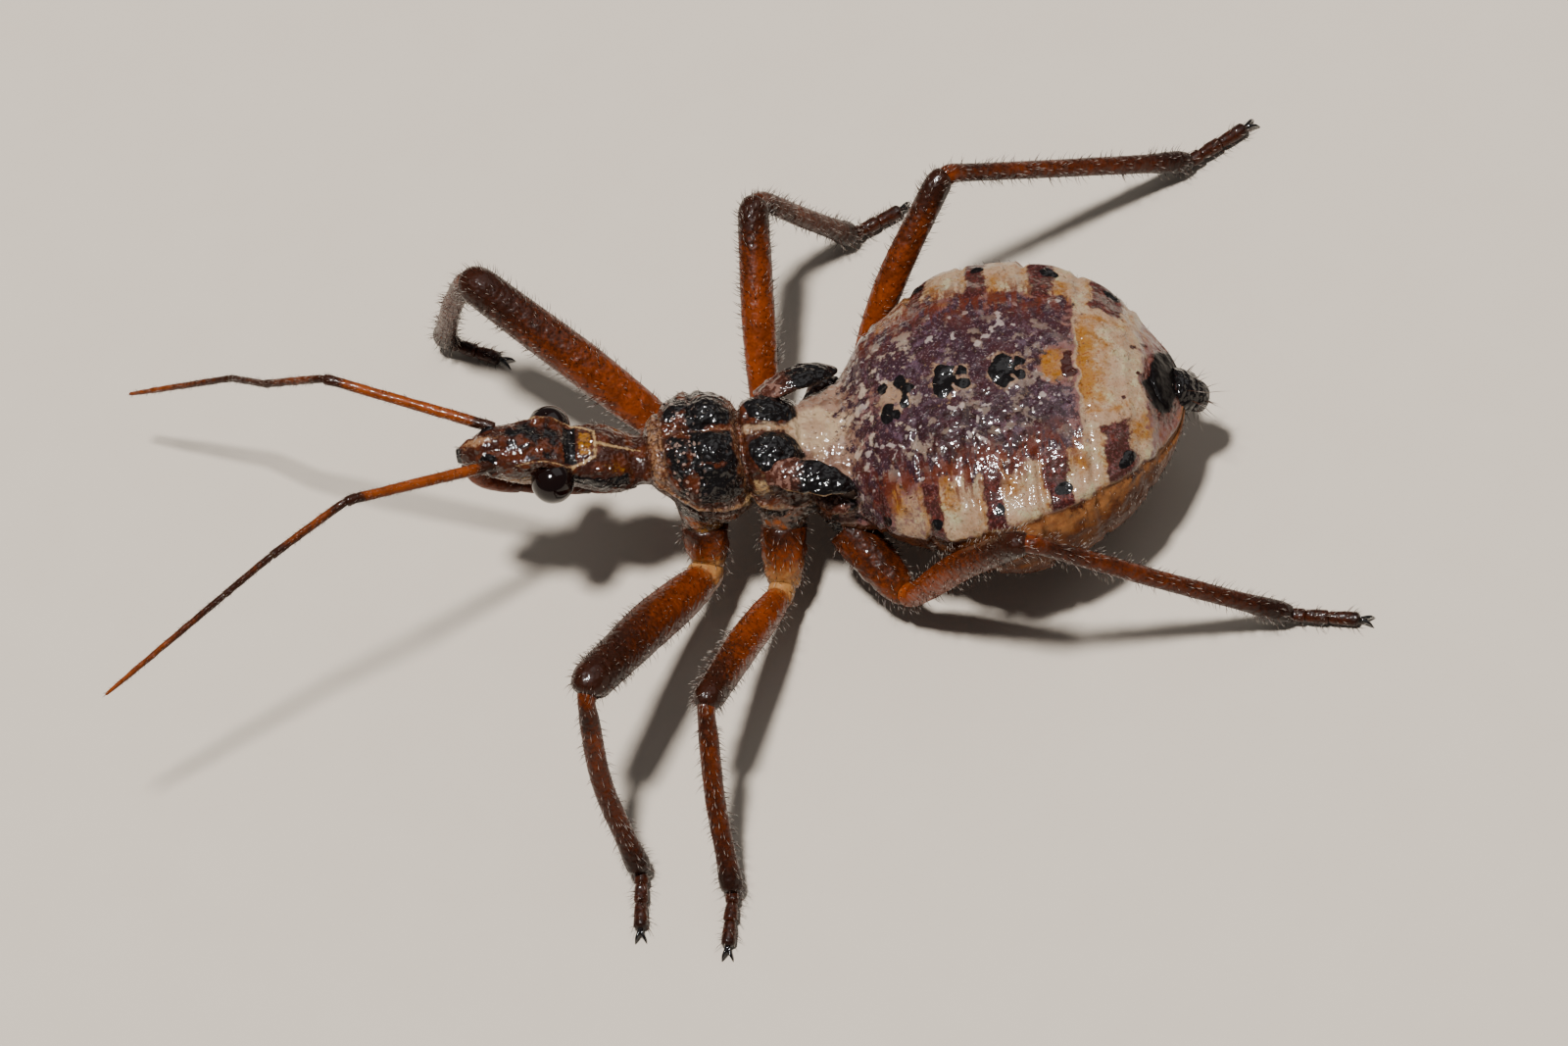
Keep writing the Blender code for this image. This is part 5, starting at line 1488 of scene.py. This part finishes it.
class NYMPH_OT_tail(bpy.types.Operator):
    """Build the black end of the abdomen"""

    bl_idname = "nymph.tail"
    bl_label = "Tail"

    def execute(self, context):
        add_piece(context, "tail_tube", tail_shell(48), ["sclerotin_melanised_waxed"],
                  ["tail_ring"])
        return {"FINISHED"}


class NYMPH_OT_eyes(bpy.types.Operator):
    """Build the two eyes"""

    bl_idname = "nymph.eyes"
    bl_label = "Eyes"

    def execute(self, context):
        for side in SIDES:
            add_piece(context, f"eyeball_{side}", eye_shell(side), ["cornea_faceted"],
                      [f"eye_{side}"])
        return {"FINISHED"}


class NYMPH_OT_beak(bpy.types.Operator):
    """Build the folded beak"""

    bl_idname = "nymph.beak"
    bl_label = "Beak"

    def execute(self, context):
        add_piece(context, "beak_skin", beak_shell(24), ["sclerotin_limb_drawn"],
                  ["beak"])
        return {"FINISHED"}


class NYMPH_OT_wing_pads(bpy.types.Operator):
    """Build the four wing pads"""

    bl_idname = "nymph.wing_pads"
    bl_label = "Wing pads"

    def execute(self, context):
        for pad in PADS:
            for side in SIDES:
                add_piece(context, f"{pad}_{side}_plate", pad_shell(pad, side, 48),
                          ["sclerotin_melanised_waxed"], [f"{pad}_{side}"])
        return {"FINISHED"}


class NYMPH_OT_feelers(bpy.types.Operator):
    """Build the two feelers"""

    bl_idname = "nymph.feelers"
    bl_label = "Feelers"

    def execute(self, context):
        radius = context.scene.nymph_sizes.feeler_radius / MM
        for side in SIDES:
            add_piece(context, f"feeler_{side}", feeler_shell(side, radius, 20),
                      ["sclerotin_feeler_drawn"],
                      [f"antenna_{side}_{part}" for part in FEELER])
        return {"FINISHED"}


class NYMPH_OT_legs(bpy.types.Operator):
    """Build the six legs"""

    bl_idname = "nymph.legs"
    bl_label = "Legs"

    def execute(self, context):
        for row, side in FEET:
            leg = f"{row}_leg_{side}"
            add_piece(context, leg, leg_shell(row, side, context.scene.nymph_sizes.limb_sides),
                      ["sclerotin_limb_drawn"],
                      [f"{leg}_{part}" for part in ("coxa", "femur", "tibia", "tarsus")])
        return {"FINISHED"}


class NYMPH_OT_claws(bpy.types.Operator):
    """Build the pair of claws on each foot"""

    bl_idname = "nymph.claws"
    bl_label = "Claws"

    def execute(self, context):
        for row, side in FEET:
            add_piece(context, f"{row}_claws_{side}", claw_shell(row, side),
                      ["sclerotin_melanised_waxed"])
        return {"FINISHED"}


class NYMPH_OT_bristles(bpy.types.Operator):
    """Build the bristles of body, legs, feelers and tail"""

    bl_idname = "nymph.bristles"
    bl_label = "Bristles"

    def execute(self, context):
        sizes = context.scene.nymph_sizes
        radius = sizes.bristle_radius / MM
        body = sizes.body_bristle / MM
        coats = [("body_skin", sizes.body_bristles, body, 0.8, 0.35, "body_cuticle"),
                 ("tail_tube", 48, body * 3.0, 1.1, 0.30, "black_cuticle")]
        for side in SIDES:
            coats.append((f"feeler_{side}", sizes.feeler_bristles, sizes.feeler_bristle / MM, 0.6, 0.5,
                          "feeler_cuticle"))
            coats += [(f"{row}_leg_{side}", sizes.leg_bristles, sizes.leg_bristle / MM, 1.0, 0.3,
                       "leg_cuticle") for row in LEGS]
        for seed, (name, count, size, width, lean, slot) in enumerate(coats):
            shell = bristle_shell(found(name), count, size, radius * width, lean, 100 + seed)
            add_piece(context, f"{name}_bristles", shell, ["chitin_bristle_tapered"])
        return {"FINISHED"}


class NYMPH_OT_stage(bpy.types.Operator):
    """Set up the pale floor, the soft light and the camera at the photo's angle"""

    bl_idname = "nymph.stage"
    bl_label = "Stage"

    def execute(self, context):
        light = context.scene.nymph_light
        add_floor(finish_of(context, "card_uncoated_pressed"))
        add_light("key", light.key_power, way=(0.077, 0.101, 0.992), distance=0.36, size=0.036)
        add_light("fill", light.fill_power, way=(-0.55, -0.35, 0.75), distance=0.50, size=0.40)
        add_sky(light.sky_strength)
        context.scene.camera = add_camera()
        return {"FINISHED"}


def add_floor(material):
    """A wide plain floor at the feet."""
    data = bpy.data.meshes.new("floor")
    half = 2.0
    data.from_pydata([(-half, -half, 0), (half, -half, 0), (half, half, 0), (-half, half, 0)], [],
                     [(0, 1, 2, 3)])
    data.materials.append(material)
    floor = bpy.data.objects.new("floor", data)
    bpy.context.scene.collection.objects.link(floor)


def add_light(name, power, way, distance, size):
    """A square soft light that looks at the bug from a direction, in metres."""
    data = bpy.data.lights.new(name, "AREA")
    data.shape = "SQUARE"
    data.size = size
    data.energy = power
    lamp = bpy.data.objects.new(name, data)
    way = Vector(way).normalized()
    aim = Vector(-ORIGIN * MM)
    lamp.location = aim + way * distance
    lamp.rotation_euler = way.to_track_quat("Z", "Y").to_euler()
    bpy.context.scene.collection.objects.link(lamp)


def add_sky(strength):
    """Even light from all round."""
    sky = bpy.data.worlds.new("studio")
    sky.use_nodes = True
    background = sky.node_tree.nodes["Background"]
    background.inputs["Color"].default_value = (*linear("#eef0f4"), 1.0)
    background.inputs["Strength"].default_value = strength
    bpy.context.scene.world = sky


def add_camera():
    """The photo's view: a long lens from above the bug's left side, rolled as the photo is."""
    data = bpy.data.cameras.new("photo_view")
    data.sensor_width = SENSOR
    width = PHOTO_SIZE[0] * PIXEL
    data.lens = SENSOR * CAMERA_DISTANCE / width
    camera = bpy.data.objects.new("photo_view", data)
    off_x = PHOTO_SIZE[0] / 2 - ANCHOR_PIXEL[0]
    off_y = ANCHOR_PIXEL[1] - PHOTO_SIZE[1] / 2
    centre = ANCHOR - ORIGIN + CAMERA_RIGHT * off_x * PIXEL + CAMERA_UP * off_y * PIXEL
    place = (centre + CAMERA_BACK * CAMERA_DISTANCE) * MM
    turn = Matrix((CAMERA_RIGHT, CAMERA_UP, CAMERA_BACK)).transposed().to_4x4()
    camera.matrix_world = Matrix.Translation(place) @ turn
    bpy.context.scene.collection.objects.link(camera)
    return camera


class NYMPH_PT_panel(bpy.types.Panel):
    """Lists the pieces, sizes, colours and light of the nymph"""

    bl_idname = "NYMPH_PT_panel"
    bl_label = "Assassin bug nymph"
    bl_space_type = "VIEW_3D"
    bl_region_type = "UI"
    bl_category = "Nymph"

    def draw(self, context):
        layout = self.layout
        for operator in OPERATORS:
            layout.operator(operator.bl_idname)
        for group in (context.scene.nymph_sizes, context.scene.nymph_colours,
                      context.scene.nymph_light):
            box = layout.box()
            for name in group.__annotations__:
                box.prop(group, name)


OPERATORS = (NYMPH_OT_body, NYMPH_OT_tail, NYMPH_OT_eyes, NYMPH_OT_beak, NYMPH_OT_wing_pads,
             NYMPH_OT_feelers, NYMPH_OT_legs, NYMPH_OT_claws, NYMPH_OT_bristles, NYMPH_OT_stage)
CLASSES = (NymphSizes, NymphColours, NymphLight, *OPERATORS, NYMPH_PT_panel)


def register():
    """Make the sizes, colours, operators and panel known to Blender."""
    for kind in CLASSES:
        bpy.utils.register_class(kind)
    bpy.types.Scene.nymph_sizes = PointerProperty(type=NymphSizes)
    bpy.types.Scene.nymph_colours = PointerProperty(type=NymphColours)
    bpy.types.Scene.nymph_light = PointerProperty(type=NymphLight)


def unregister():
    """Take them out again."""
    del bpy.types.Scene.nymph_light
    del bpy.types.Scene.nymph_colours
    del bpy.types.Scene.nymph_sizes
    for kind in reversed(CLASSES):
        bpy.utils.unregister_class(kind)


def main():
    """Register the add-on and build every piece."""
    register()
    bpy.ops.nymph.body()
    bpy.ops.nymph.tail()
    bpy.ops.nymph.eyes()
    bpy.ops.nymph.beak()
    bpy.ops.nymph.wing_pads()
    bpy.ops.nymph.feelers()
    bpy.ops.nymph.legs()
    bpy.ops.nymph.claws()
    bpy.ops.nymph.bristles()
    bpy.ops.nymph.stage()


if __name__ == "__main__":
    main()
